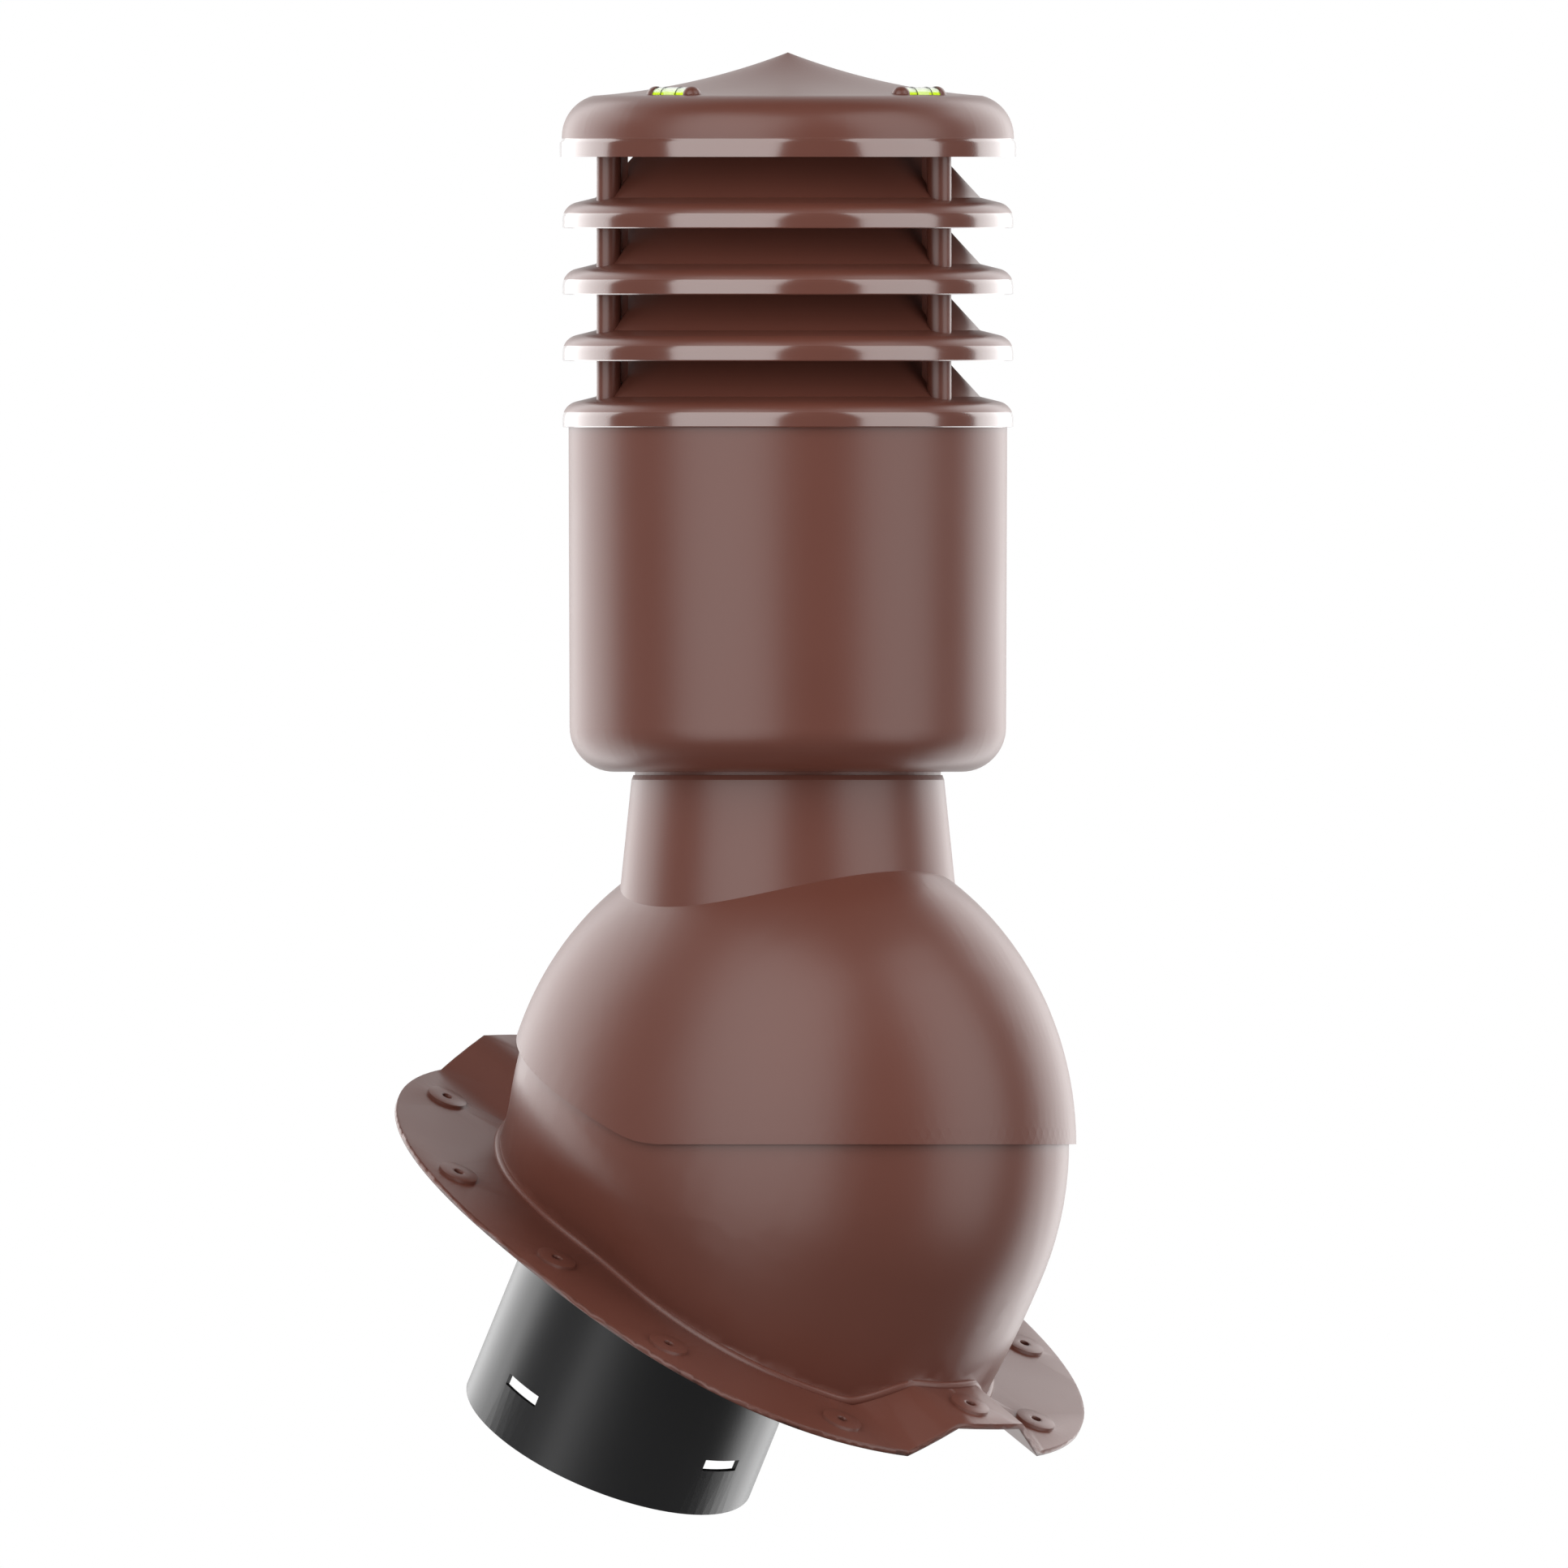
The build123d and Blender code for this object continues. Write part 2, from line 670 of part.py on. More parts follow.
with BuildPart() as housing:
    with BuildSketch(stack_section) as jacket_profile:
        with BuildLine():
            Polyline(
                (0, jacket_bottom), (jacket_foot, jacket_bottom), (jacket_radius, jacket_top),
                (0, jacket_top), close=True)
        make_face()
        fillet(
            jacket_profile.vertices().sort_by_distance((jacket_foot, jacket_bottom))[0],
            radius=jacket_foot_radius)
    revolve(axis=stack_axis)
    with BuildSketch(stack_section) as jacket_hollow:
        with BuildLine():
            Polyline(
                (0, jacket_bottom + jacket_wall), (jacket_foot - jacket_wall, jacket_bottom + jacket_wall),
                (jacket_radius - jacket_wall, jacket_top), (0, jacket_top), close=True)
        make_face()
        fillet(
            jacket_hollow.vertices().sort_by_distance((jacket_foot, jacket_bottom))[0],
            radius=jacket_foot_radius - jacket_wall)
    revolve(axis=stack_axis, mode=Mode.SUBTRACT)
    with BuildSketch(stack_plane.offset(jacket_bottom)):
        Circle(socket_bore)
    extrude(amount=2 * jacket_wall, mode=Mode.SUBTRACT)
housing.part.label = "housing"

foam_radius = jacket_foot - jacket_wall - touch_gap
foam_bottom = jacket_bottom + jacket_wall + touch_gap
foam_top = lid_bottom - insulation_drop

with BuildPart() as insulation:
    with BuildSketch(stack_section) as foam_profile:
        with BuildLine():
            Polyline(
                (pipe_radius + touch_gap, foam_bottom), (foam_radius, foam_bottom), (foam_radius, foam_top),
                (pipe_radius + touch_gap, foam_top), close=True)
        make_face()
        fillet(
            foam_profile.vertices().sort_by_distance((foam_radius, foam_bottom))[0],
            radius=jacket_foot_radius - jacket_wall)
    revolve(axis=stack_axis)
insulation.part.label = "insulation"


def ring_fill(inset, lowest):
    """Everything under a louvre ring's skin: lip, rounded shoulder, shelf and cone."""
    shelf = radians(shelf_angle)
    cone = radians(cone_angle)
    outer = ring_radius - inset
    rounding = lip_rounding - inset
    shelf_start = (outer - rounding + rounding * sin(shelf), lip_height + rounding * cos(shelf))
    knee = shelf_inner_radius - inset * sin((cone + shelf) / 2) / cos((cone - shelf) / 2)
    knee_height = shelf_start[1] + (shelf_start[0] - knee) * tan(shelf)
    with BuildPart() as body:
        with BuildSketch(stack_section):
            with BuildLine():
                Polyline(
                    (0, lid_bottom + lowest), (outer, lid_bottom + lowest), (outer, lid_bottom + lip_height))
                CenterArc((outer - rounding, lid_bottom + lip_height), rounding, 0, 90 - shelf_angle)
                Polyline(
                    (shelf_start[0], lid_bottom + shelf_start[1]), (knee, lid_bottom + knee_height),
                    (0, lid_bottom + knee_height + knee * tan(cone)), (0, lid_bottom + lowest))
            make_face()
        revolve(axis=stack_axis)
    return body.part


# Louvre ring with its posts; all four are the same and the lowest is the jacket's lid
under_skin = ring_fill(ring_wall, -1.0)
ring_top = ring_fill(0, 0)

with BuildPart() as ring_posts:
    with BuildSketch(stack_plane.offset(lid_bottom + socket_rise)):
        with PolarLocations(post_circle, post_count, start_angle=post_angle):
            Circle(post_radius)
            Rectangle(post_circle - web_inner_radius, web_thickness, align=(Align.MAX, Align.CENTER))
    extrude(amount=post_top - socket_rise)
    add(under_skin, mode=Mode.SUBTRACT)

with BuildPart() as ring_sockets:
    with BuildSketch(stack_plane.offset(lid_bottom + socket_rise)):
        with PolarLocations(post_circle, post_count, start_angle=post_angle):
            Circle(socket_radius)
    extrude(amount=ring_pitch)
    add(ring_top, mode=Mode.INTERSECT)

with BuildPart() as louvre_ring:
    add(ring_top)
    add(under_skin, mode=Mode.SUBTRACT)
    with BuildSketch(stack_plane.offset(lid_bottom)):
        Circle(throat_radius)
    extrude(amount=4 * ring_pitch, mode=Mode.SUBTRACT)
    add(ring_sockets.part)
    add(ring_posts.part)
    with BuildSketch(stack_plane.offset(lid_bottom)):
        with PolarLocations(post_circle, post_count, start_angle=post_angle):
            Circle(tie_hole_radius)
    extrude(amount=2 * ring_pitch, mode=Mode.SUBTRACT)

louvre_rings = []
for place in range(ring_count):
    ring = louvre_ring.part.moved(Location((0, 0, place * ring_pitch)))
    ring.label = f"louvre_ring_{place + 1}"
    louvre_rings.append(ring)

tie_length = top_socket + tie_bite - lid_bottom - socket_rise

with BuildPart() as tie_screws:
    with BuildSketch(stack_plane.offset(lid_bottom + socket_rise - tie_head_height)):
        with PolarLocations(post_circle, post_count, start_angle=post_angle):
            Circle(tie_head_radius)
            RegularPolygon(tie_radius, 6, mode=Mode.SUBTRACT)
    extrude(amount=tie_head_height)
    with BuildSketch(stack_plane.offset(lid_bottom + socket_rise - tie_head_height / 2)):
        with PolarLocations(post_circle, post_count, start_angle=post_angle):
            Circle(tie_radius)
    extrude(amount=tie_length + tie_head_height / 2)
tie_screws.part.label = "tie_screws"


def cap_fill(inset, lowest):
    """Everything under the cap's skin: hollow crown, round shoulder and rim band."""
    centre = (cap_band_radius - cap_band_step - cap_shoulder_radius, cap_rim + cap_shoulder_rise)
    rounding = cap_shoulder_radius - inset
    start = (centre[0] + rounding * cos(radians(cap_shoulder_turn)),
             centre[1] + rounding * sin(radians(cap_shoulder_turn)))
    with BuildPart() as body:
        with BuildSketch(stack_section):
            with BuildLine():
                ThreePointArc(
                    (0, cap_rim + cap_peak_rise - inset),
                    (cap_dip_radius, cap_rim + cap_dip_rise - inset), start)
                CenterArc(centre, rounding, 0, cap_shoulder_turn)
                if inset:
                    Polyline(
                        (centre[0] + rounding, centre[1]), (centre[0] + rounding, cap_rim + lowest),
                        (0, cap_rim + lowest), (0, cap_rim + cap_peak_rise - inset))
                else:
                    Polyline(
                        (centre[0] + rounding, centre[1]),
                        (centre[0] + rounding, cap_rim + cap_band_height + cap_band_bevel),
                        (cap_band_radius, cap_rim + cap_band_height), (cap_band_radius, cap_rim),
                        (0, cap_rim), (0, cap_rim + cap_peak_rise))
            make_face()
        revolve(axis=stack_axis)
    return body.part


# Cap with the two vial holders
cap_skin = cap_fill(0, 0)
cap_hollow = cap_fill(cap_shell, -1.0)
cap_core = cap_fill(cap_shell / 2, 0)
holder_reach = vial_half + pocket_gap + vial_end_radius

with BuildPart() as cap_sockets:
    with BuildSketch(stack_plane.offset(top_socket)):
        with PolarLocations(post_circle, post_count, start_angle=post_angle):
            Circle(socket_radius)
    extrude(amount=cap_peak_rise)
    for plane in (level_plane_x, level_plane_y):
        with BuildSketch(Plane(origin=plane.origin, x_dir=(0, 0, 1), z_dir=plane.x_dir)):
            Circle(vial_end_radius + cradle_wall)
        extrude(amount=holder_reach, both=True)
    add(cap_core, mode=Mode.INTERSECT)

with BuildPart() as cap:
    add(cap_skin)
    add(cap_hollow, mode=Mode.SUBTRACT)
    add(cap_sockets.part)
    for plane in (level_plane_x, level_plane_y):
        with BuildSketch(plane):
            with Locations((vial_half + pocket_gap, 0), (-vial_half - pocket_gap, 0)):
                Circle(vial_end_radius)
            Rectangle(4 * vial_half, vial_end_radius, align=(Align.CENTER, Align.MAX), mode=Mode.SUBTRACT)
        revolve(axis=Axis(plane.origin, plane.x_dir))
        with BuildSketch(plane):
            Rectangle(
                2 * (vial_half + pocket_gap), vial_radius + pocket_gap, align=(Align.CENTER, Align.MIN))
        revolve(axis=Axis(plane.origin, plane.x_dir), mode=Mode.SUBTRACT)
    with BuildSketch(stack_plane.offset(top_socket)):
        with PolarLocations(post_circle, post_count, start_angle=post_angle):
            Circle(tie_radius + thread_gap)
    extrude(amount=tie_bite + touch_gap, mode=Mode.SUBTRACT)
cap.part.label = "cap"


def level_tube(plane):
    """Closed glass vial lying along the plane's x direction."""
    with BuildPart() as body:
        with BuildSketch(plane):
            Rectangle(vial_length, vial_radius, align=(Align.CENTER, Align.MIN))
            Rectangle(
                vial_length - 2 * vial_end, vial_radius - vial_wall, align=(Align.CENTER, Align.MIN),
                mode=Mode.SUBTRACT)
        revolve(axis=Axis(plane.origin, plane.x_dir))
    return body.part


def level_fluid(plane):
    """The fluid inside a vial, with the hollow that its bubble leaves at the top."""
    inside = vial_radius - vial_wall - thread_gap
    bubble_axis = Axis(plane.origin + Vector(0, 0, inside - bubble_depth / 2), plane.x_dir)
    with BuildPart() as body:
        with BuildSketch(plane):
            Rectangle(
                vial_length - 2 * (vial_end + thread_gap), inside, align=(Align.CENTER, Align.MIN))
        revolve(axis=Axis(plane.origin, plane.x_dir))
        with BuildSketch(plane.offset(inside - bubble_depth / 2)):
            Ellipse(bubble_length / 2, bubble_depth / 2)
            Rectangle(bubble_length, bubble_depth, align=(Align.CENTER, Align.MAX), mode=Mode.SUBTRACT)
        revolve(axis=bubble_axis, mode=Mode.SUBTRACT)
    return body.part


with BuildPart() as level_tube_x:
    add(level_tube(level_plane_x))
level_tube_x.part.label = "level_tube_x"

with BuildPart() as level_tube_y:
    add(level_tube(level_plane_y))
level_tube_y.part.label = "level_tube_y"

with BuildPart() as level_fluid_x:
    add(level_fluid(level_plane_x))
level_fluid_x.part.label = "level_fluid_x"

with BuildPart() as level_fluid_y:
    add(level_fluid(level_plane_y))
level_fluid_y.part.label = "level_fluid_y"

os.makedirs("parts", exist_ok=True)
export_step(roof_base.part, "parts/roof_base.step")
export_step(duct_spigot.part, "parts/duct_spigot.step")
export_step(chamber_side.part, "parts/chamber_side.step")
export_step(chamber_screws.part, "parts/chamber_screws.step")
export_step(plate_screws.part, "parts/plate_screws.step")
export_step(pivot_bolts.part, "parts/pivot_bolts.step")
export_step(pivot_nuts.part, "parts/pivot_nuts.step")
export_step(friction_washers.part, "parts/friction_washers.step")
export_step(swivel_drum.part, "parts/swivel_drum.step")
export_step(pipe_seal.part, "parts/pipe_seal.step")
export_step(inner_pipe.part, "parts/inner_pipe.step")
export_step(dome_cover.part, "parts/dome_cover.step")
export_step(housing.part, "parts/housing.step")
export_step(insulation.part, "parts/insulation.step")
for ring in louvre_rings:
    export_step(ring, f"parts/{ring.label}.step")
export_step(tie_screws.part, "parts/tie_screws.step")
export_step(cap.part, "parts/cap.step")
export_step(level_tube_x.part, "parts/level_tube_x.step")
export_step(level_tube_y.part, "parts/level_tube_y.step")
export_step(level_fluid_x.part, "parts/level_fluid_x.step")
export_step(level_fluid_y.part, "parts/level_fluid_y.step")
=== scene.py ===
# %% [markdown]
# # An insulated roof vent that leans to stay plumb
#
# This vent sits on a sloping metal roof. A flange lies on the sheet, a dome tilts on it, and an
# insulated stack with louvre rings stands plumb above. The solids come from the frame, in metres.
# Here they get smooth surfaces, real finishes, and the pieces that a rule makes better than a solid.

# %% Load the frame and measure it
import json
from math import cos, pi, radians, sin, tan

import bmesh
import bpy
from mathutils import Matrix, Vector


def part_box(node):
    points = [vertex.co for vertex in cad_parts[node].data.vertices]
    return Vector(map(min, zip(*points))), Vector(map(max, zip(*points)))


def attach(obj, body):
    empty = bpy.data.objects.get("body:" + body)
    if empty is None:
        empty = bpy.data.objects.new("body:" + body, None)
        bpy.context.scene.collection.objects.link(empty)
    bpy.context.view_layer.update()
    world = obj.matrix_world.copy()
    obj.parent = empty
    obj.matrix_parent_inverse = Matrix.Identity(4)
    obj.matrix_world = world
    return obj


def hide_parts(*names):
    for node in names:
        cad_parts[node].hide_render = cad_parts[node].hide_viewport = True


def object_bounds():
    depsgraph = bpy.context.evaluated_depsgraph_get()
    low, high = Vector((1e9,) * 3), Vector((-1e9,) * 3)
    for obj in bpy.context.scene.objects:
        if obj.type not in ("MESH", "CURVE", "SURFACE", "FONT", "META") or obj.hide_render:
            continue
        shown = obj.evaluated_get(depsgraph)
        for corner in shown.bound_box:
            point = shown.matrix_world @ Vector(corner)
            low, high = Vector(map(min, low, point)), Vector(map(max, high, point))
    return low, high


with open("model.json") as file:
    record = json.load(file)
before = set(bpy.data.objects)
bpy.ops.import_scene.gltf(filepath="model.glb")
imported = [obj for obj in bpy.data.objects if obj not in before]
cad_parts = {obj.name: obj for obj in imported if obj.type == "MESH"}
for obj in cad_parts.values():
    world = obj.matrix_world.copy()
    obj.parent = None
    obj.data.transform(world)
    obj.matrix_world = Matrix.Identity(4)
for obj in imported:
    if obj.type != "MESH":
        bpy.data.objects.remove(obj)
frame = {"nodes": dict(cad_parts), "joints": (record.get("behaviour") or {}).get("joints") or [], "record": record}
cad_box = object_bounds()
nodes = frame["nodes"]
tilt_centre = Vector(frame["joints"][0]["pos_m"])
MM = 0.001
print("nodes:", len(nodes), "height in mm:", round((cad_box[1].z - cad_box[0].z) / MM, 1))

# %% [markdown]
# ## Small helpers
#
# A shader node needs its links and its values set by hand. These helpers keep each later cell to a
# few lines: one makes a node with its inputs filled, one starts a new material.


# %% Helpers for shader and geometry trees
def new_node(tree, kind, name=None, **inputs):
    """Adds a node; an input given as a socket is linked, anything else is its value."""
    made = tree.nodes.new(kind)
    if name:
        made.name = made.label = name
    for key, value in inputs.items():
        socket = made.inputs[int(key[1:])] if key[0] == "i" and key[1:].isdigit() else made.inputs[key]
        if isinstance(value, bpy.types.NodeSocket):
            tree.links.new(value, socket)
        else:
            socket.default_value = value
    return made


def math_node(tree, operation, first, second=0.0, clamp=False):
    """One sum as a Math node; gives its result socket."""
    made = new_node(tree, "ShaderNodeMath", i0=first, i1=second)
    made.operation = operation
    made.use_clamp = clamp
    return made.outputs[0]


def new_group(name, outputs, **inputs):
    """An empty shader group with named float inputs and named outputs."""
    group = bpy.data.node_groups.new(name, "ShaderNodeTree")
    for key, value in inputs.items():
        label = key.replace("_", " ")
        socket = group.interface.new_socket(label, in_out="INPUT", socket_type="NodeSocketFloat")
        socket.default_value = value
    for key, kind in outputs.items():
        group.interface.new_socket(key, in_out="OUTPUT", socket_type=kind)
    start = group.nodes.new("NodeGroupInput")
    end = group.nodes.new("NodeGroupOutput")
    return group, start.outputs, end.inputs


def place_group(tree, group, **inputs):
    """Puts a shader group into a material with that material's own values."""
    made = tree.nodes.new("ShaderNodeGroup")
    made.node_tree = group
    for key, value in inputs.items():
        made.inputs[key.replace("_", " ")].default_value = value
    return made.outputs


def new_material(name, color, roughness, **values):
    """A Principled material; gives the material, its tree and its shader."""
    material = bpy.data.materials.new(name)
    material.use_nodes = True
    tree = material.node_tree
    shader = tree.nodes["Principled BSDF"]
    shader.inputs["Base Color"].default_value = (*color, 1.0)
    shader.inputs["Roughness"].default_value = roughness
    for key, value in values.items():
        shader.inputs[key.replace("_", " ")].default_value = value
    return material, tree, shader


def combine(tree, x, y, z):
    """A vector from three values or sockets."""
    return new_node(tree, "ShaderNodeCombineXYZ", X=x, Y=y, Z=z).outputs[0]


def map_range(tree, name, value, start, end, first=0.0, last=1.0):
    """A value that runs from first to last while another runs from start to end."""
    made = new_node(tree, "ShaderNodeMapRange", name, Value=value)
    for key, number in (("From Min", start), ("From Max", end), ("To Min", first), ("To Max", last)):
        made.inputs[key].default_value = number
    return made.outputs[0]


def color_mix(tree, name, factor, first, second):
    """A colour between two colours, by a factor; either one may be a socket."""
    made = tree.nodes.new("ShaderNodeMix")
    made.name = made.label = name
    made.data_type = "RGBA"
    sockets = {socket.identifier: socket for socket in made.inputs}
    for key, value in (("Factor_Float", factor), ("A_Color", first), ("B_Color", second)):
        if isinstance(value, bpy.types.NodeSocket):
            tree.links.new(value, sockets[key])
        else:
            sockets[key].default_value = value
    return made


print("helpers ready")

# %% [markdown]
# ## Moulded plastic
#
# The brown parts are moulded in plastic with a very fine grain, so they shine softly and unevenly.
# A small noise could be painted, but one group with a bump height and a roughness value gives every
# plastic its own strength. The lip of each ring and the cap's band are polished instead, so a second
# group finds them by their height and their distance from the stack's axis.

# %% Grain and polish as node groups
grain_group, grain_in, grain_out = new_group(
    "moulded grain", {"Height": "NodeSocketFloat", "Roughness": "NodeSocketFloat", "Shade": "NodeSocketFloat"},
    Grain_Scale=900.0, Roughness=0.4, Spread=0.06, Shade_Spread=0.05)
tree = grain_group
place = new_node(tree, "ShaderNodeTexCoord").outputs["Object"]
fine = new_node(tree, "ShaderNodeTexNoise", "fine grain",
                Vector=place, Scale=grain_in["Grain Scale"], Detail=2.0)
broad = new_node(tree, "ShaderNodeTexNoise", "broad clouds", Vector=place, Scale=14.0, Detail=3.0)
centred = math_node(tree, "SUBTRACT", broad.outputs["Fac"], 0.5)
tree.links.new(fine.outputs["Fac"], grain_out["Height"])
rough = math_node(tree, "MULTIPLY_ADD", centred, grain_in["Spread"])
tree.links.new(grain_in["Roughness"], rough.node.inputs[2])
tree.links.new(rough, grain_out["Roughness"])
shade = math_node(tree, "MULTIPLY_ADD", centred, grain_in["Shade Spread"])
shade.node.inputs[2].default_value = 1.0
tree.links.new(shade, grain_out["Shade"])

polish_group, polish_in, polish_out = new_group(
    "polished band", {"Mask": "NodeSocketFloat"}, Start=0.0, Pitch=1.0, Band=0.0, Radius=0.0, Axis_X=0.0)
tree = polish_group
place = new_node(tree, "ShaderNodeTexCoord").outputs["Object"]
split = new_node(tree, "ShaderNodeSeparateXYZ", Vector=place).outputs
above = math_node(tree, "SUBTRACT", split["Z"], polish_in["Start"])
step = math_node(tree, "FLOORED_MODULO", above, polish_in["Pitch"])
in_band = math_node(tree, "LESS_THAN", step, polish_in["Band"])
from_axis = math_node(tree, "SUBTRACT", split["X"], polish_in["Axis X"])
squared = math_node(tree, "ADD", math_node(tree, "MULTIPLY", from_axis, from_axis),
                    math_node(tree, "MULTIPLY", split["Y"], split["Y"]))
outside = math_node(tree, "GREATER_THAN", math_node(tree, "SQRT", squared), polish_in["Radius"])
tree.links.new(math_node(tree, "MULTIPLY", in_band, outside), polish_out["Mask"])
print("groups:", [g.name for g in bpy.data.node_groups])

# %% [markdown]
# ## Finishes
#
# Chocolate brown for the stack and the base, satin black for the spigot and the swivel inside,
# zinc-plated steel for the screws, pale foam round the pipe, and clear glass with yellow-green
# fluid for the two levels.


# %% Plastic, rubber, foam and steel
BROWN = (0.145, 0.047, 0.032)
BLACK = (0.018, 0.018, 0.019)
PLASTIC_SHINE = 0.62
ROUGHNESS_SPREAD = 0.06
SHADE_SPREAD = 0.10
GRAIN_DEPTH = 0.2 * MM


def moulded(name, color, roughness, grain_scale=900.0, bump=0.12, rounding=0.0):
    """Plastic with the grain group on its roughness, its shade and its surface, and softened edges."""
    material, tree, shader = new_material(name, color, roughness, Specular_IOR_Level=PLASTIC_SHINE)
    grain = place_group(tree, grain_group, Grain_Scale=grain_scale, Roughness=roughness,
                        Spread=ROUGHNESS_SPREAD, Shade_Spread=SHADE_SPREAD)
    tree.links.new(grain["Roughness"], shader.inputs["Roughness"])
    bump_node = new_node(tree, "ShaderNodeBump", Strength=bump, Distance=GRAIN_DEPTH, Height=grain["Height"])
    tree.links.new(bump_node.outputs[0], shader.inputs["Normal"])
    if rounding:
        soft_edge = new_node(tree, "ShaderNodeBevel", "soft edges", Radius=rounding)
        soft_edge.samples = 6
        tree.links.new(soft_edge.outputs[0], bump_node.inputs["Normal"])
    tint = color_mix(tree, "shade", 1.0, (*color, 1.0), grain["Shade"])
    tint.blend_type = "MULTIPLY"
    tree.links.new(tint.outputs[2], shader.inputs["Base Color"])
    return material, tree, shader, grain


brown = moulded("brown_plastic", BROWN, 0.36)[0]
base_brown = moulded("base_plastic", BROWN, 0.36, rounding=1.8 * MM)[0]
black = moulded("black_plastic", BLACK, 0.34, bump=0.08)[0]
pipe_brown = moulded("pipe_plastic", BROWN, 0.4, bump=0.05)[0]
rubber = moulded("seal_rubber", (0.02, 0.02, 0.02), 0.7, bump=0.05)[0]
foam = moulded("rigid_foam", (0.72, 0.70, 0.64), 0.9, grain_scale=260.0, bump=0.5)[0]
washer_white = moulded("washer_plastic", (0.75, 0.75, 0.72), 0.45, bump=0.05)[0]
zinc = new_material("zinc_steel", (0.60, 0.60, 0.58), 0.32, Metallic=1.0)[0]
print("plastics:", [m.name for m in bpy.data.materials if m.use_nodes])

# %% [markdown]
# The lips of the rings and the band of the cap came out of a polished part of their mould. They stay
# one piece with their matt shoulders, so the mask changes the roughness there and lays a clear shine
# over them, and the grain goes on underneath.


# %% Plastic with polished lips
LIP_COAT_ROUGHNESS = 0.14
LIP_COAT_IOR = 1.8


def polished(name, lip_roughness, **band):
    """Moulded brown plastic with a polished band at the places that the mask finds."""
    material, tree, shader, grain = moulded(name, BROWN, 0.34)
    polish = place_group(tree, polish_group, Axis_X=tilt_centre.x, **band)
    finish = new_node(tree, "ShaderNodeMix", "lip or shoulder", Factor=polish["Mask"])
    tree.links.new(grain["Roughness"], finish.inputs["A"])
    finish.inputs["B"].default_value = lip_roughness
    tree.links.new(finish.outputs["Result"], shader.inputs["Roughness"])
    tree.links.new(polish["Mask"], shader.inputs["Coat Weight"])
    shader.inputs["Coat Roughness"].default_value = LIP_COAT_ROUGHNESS
    shader.inputs["Coat IOR"].default_value = LIP_COAT_IOR
    return material


lid_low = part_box("louvre_ring_1")[0].z
ring_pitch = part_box("louvre_ring_2")[0].z - lid_low
cap_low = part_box("cap")[0].z
louvre_brown = polished("louvre_plastic", 0.17, Start=lid_low, Pitch=ring_pitch, Band=7.4 * MM, Radius=104 * MM)
cap_brown = polished("cap_plastic", 0.14, Start=cap_low, Pitch=0.2, Band=9.0 * MM, Radius=108 * MM)
print("polished:", louvre_brown.name, cap_brown.name)

# %% [markdown]
# The vials are glass over a bright yellow-green fluid. Glass alone would look empty at this size, so the fluid
# has a painted glow: it gives off a little light of its own colour. Its top is painted pale as a painted
# reflection, and it is pale round the bubble between the marks. Both vials share one
# group for that, each with its own middle.

# %% Glass and fluid
MARK_SPACING = 10.2 * MM
# The fluid's top is painted pale between these heights above its middle, as a painted reflection.
PALE_FROM, PALE_TO = 1.5 * MM, 2.3 * MM
BUBBLE_PALENESS = 0.4
DYE = (0.70, 0.90, 0.03, 1.0)
# The pale colour is the painted reflection at the top and also the bubble's own pale.
PALE_REFLECTION_AND_BUBBLE = (0.88, 0.90, 0.80, 1.0)
# A painted glow: the fluid gives off light though it is no lamp.
PAINTED_FLUID_GLOW = 0.35

pale_group, pale_in, pale_out = new_group(
    "pale fluid", {"Pale": "NodeSocketFloat"}, Middle_X=0.0, Middle_Y=0.0, Middle_Z=0.0, Bubble_Half=0.005)
tree = pale_group
place = new_node(tree, "ShaderNodeTexCoord").outputs["Object"]
middle = combine(tree, pale_in["Middle X"], pale_in["Middle Y"], pale_in["Middle Z"])
from_middle = new_node(tree, "ShaderNodeVectorMath", i0=place, i1=middle)
from_middle.operation = "SUBTRACT"
height = new_node(tree, "ShaderNodeSeparateXYZ", Vector=from_middle.outputs[0]).outputs["Z"]
along = new_node(tree, "ShaderNodeVectorMath", i0=from_middle.outputs[0])
along.operation = "LENGTH"
in_bubble = math_node(tree, "LESS_THAN", along.outputs["Value"], pale_in["Bubble Half"])
# Painted reflection: the fluid turns pale towards its top.
painted_top_reflection = map_range(tree, "painted reflection at top", height, PALE_FROM, PALE_TO)
bubble_light = math_node(tree, "MULTIPLY", in_bubble, BUBBLE_PALENESS)
tree.links.new(math_node(tree, "MAXIMUM", painted_top_reflection, bubble_light), pale_out["Pale"])


def dyed_fluid(name):
    """The fluid of the vial of the same name: a painted reflection at its own top, pale at its bubble, and a
    painted glow.
    """
    material, tree, shader = new_material(name, DYE[:3], 0.05, Transmission_Weight=0.1, IOR=1.33)
    low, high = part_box(name)
    middle = (low + high) / 2
    pale = place_group(tree, pale_group, Middle_X=middle.x, Middle_Y=middle.y, Middle_Z=middle.z,
                       Bubble_Half=MARK_SPACING / 2)
    color = color_mix(tree, "dye or painted reflection and bubble", pale["Pale"], DYE, PALE_REFLECTION_AND_BUBBLE).outputs[2]
    tree.links.new(color, shader.inputs["Base Color"])
    # The painted glow takes the fluid's colour, paler at the painted reflection.
    tree.links.new(color, shader.inputs["Emission Color"])
    shader.inputs["Emission Strength"].default_value = PAINTED_FLUID_GLOW
    return material


glass = new_material("vial_glass", (0.97, 1.0, 0.93), 0.02, Transmission_Weight=1.0, IOR=1.3)[0]
mark_black = new_material("level_mark", (0.006, 0.006, 0.006), 0.4)[0]
fluid_x, fluid_y = dyed_fluid("level_fluid_x"), dyed_fluid("level_fluid_y")
print("glass and fluid ready")

# %% [markdown]
# ## Smooth skins over the solids
#
# A solid arrives as loose flat triangles, which catch the light one by one. The real mouldings are
# smooth, so a copy of each node is merged, shaded smooth where it curves, and kept crisp at its
# corners. How sharp a corner has to be for that is set for all, and for a few nodes by themselves.
# The copy stands for the node, and the node itself keeps its part in the physics.

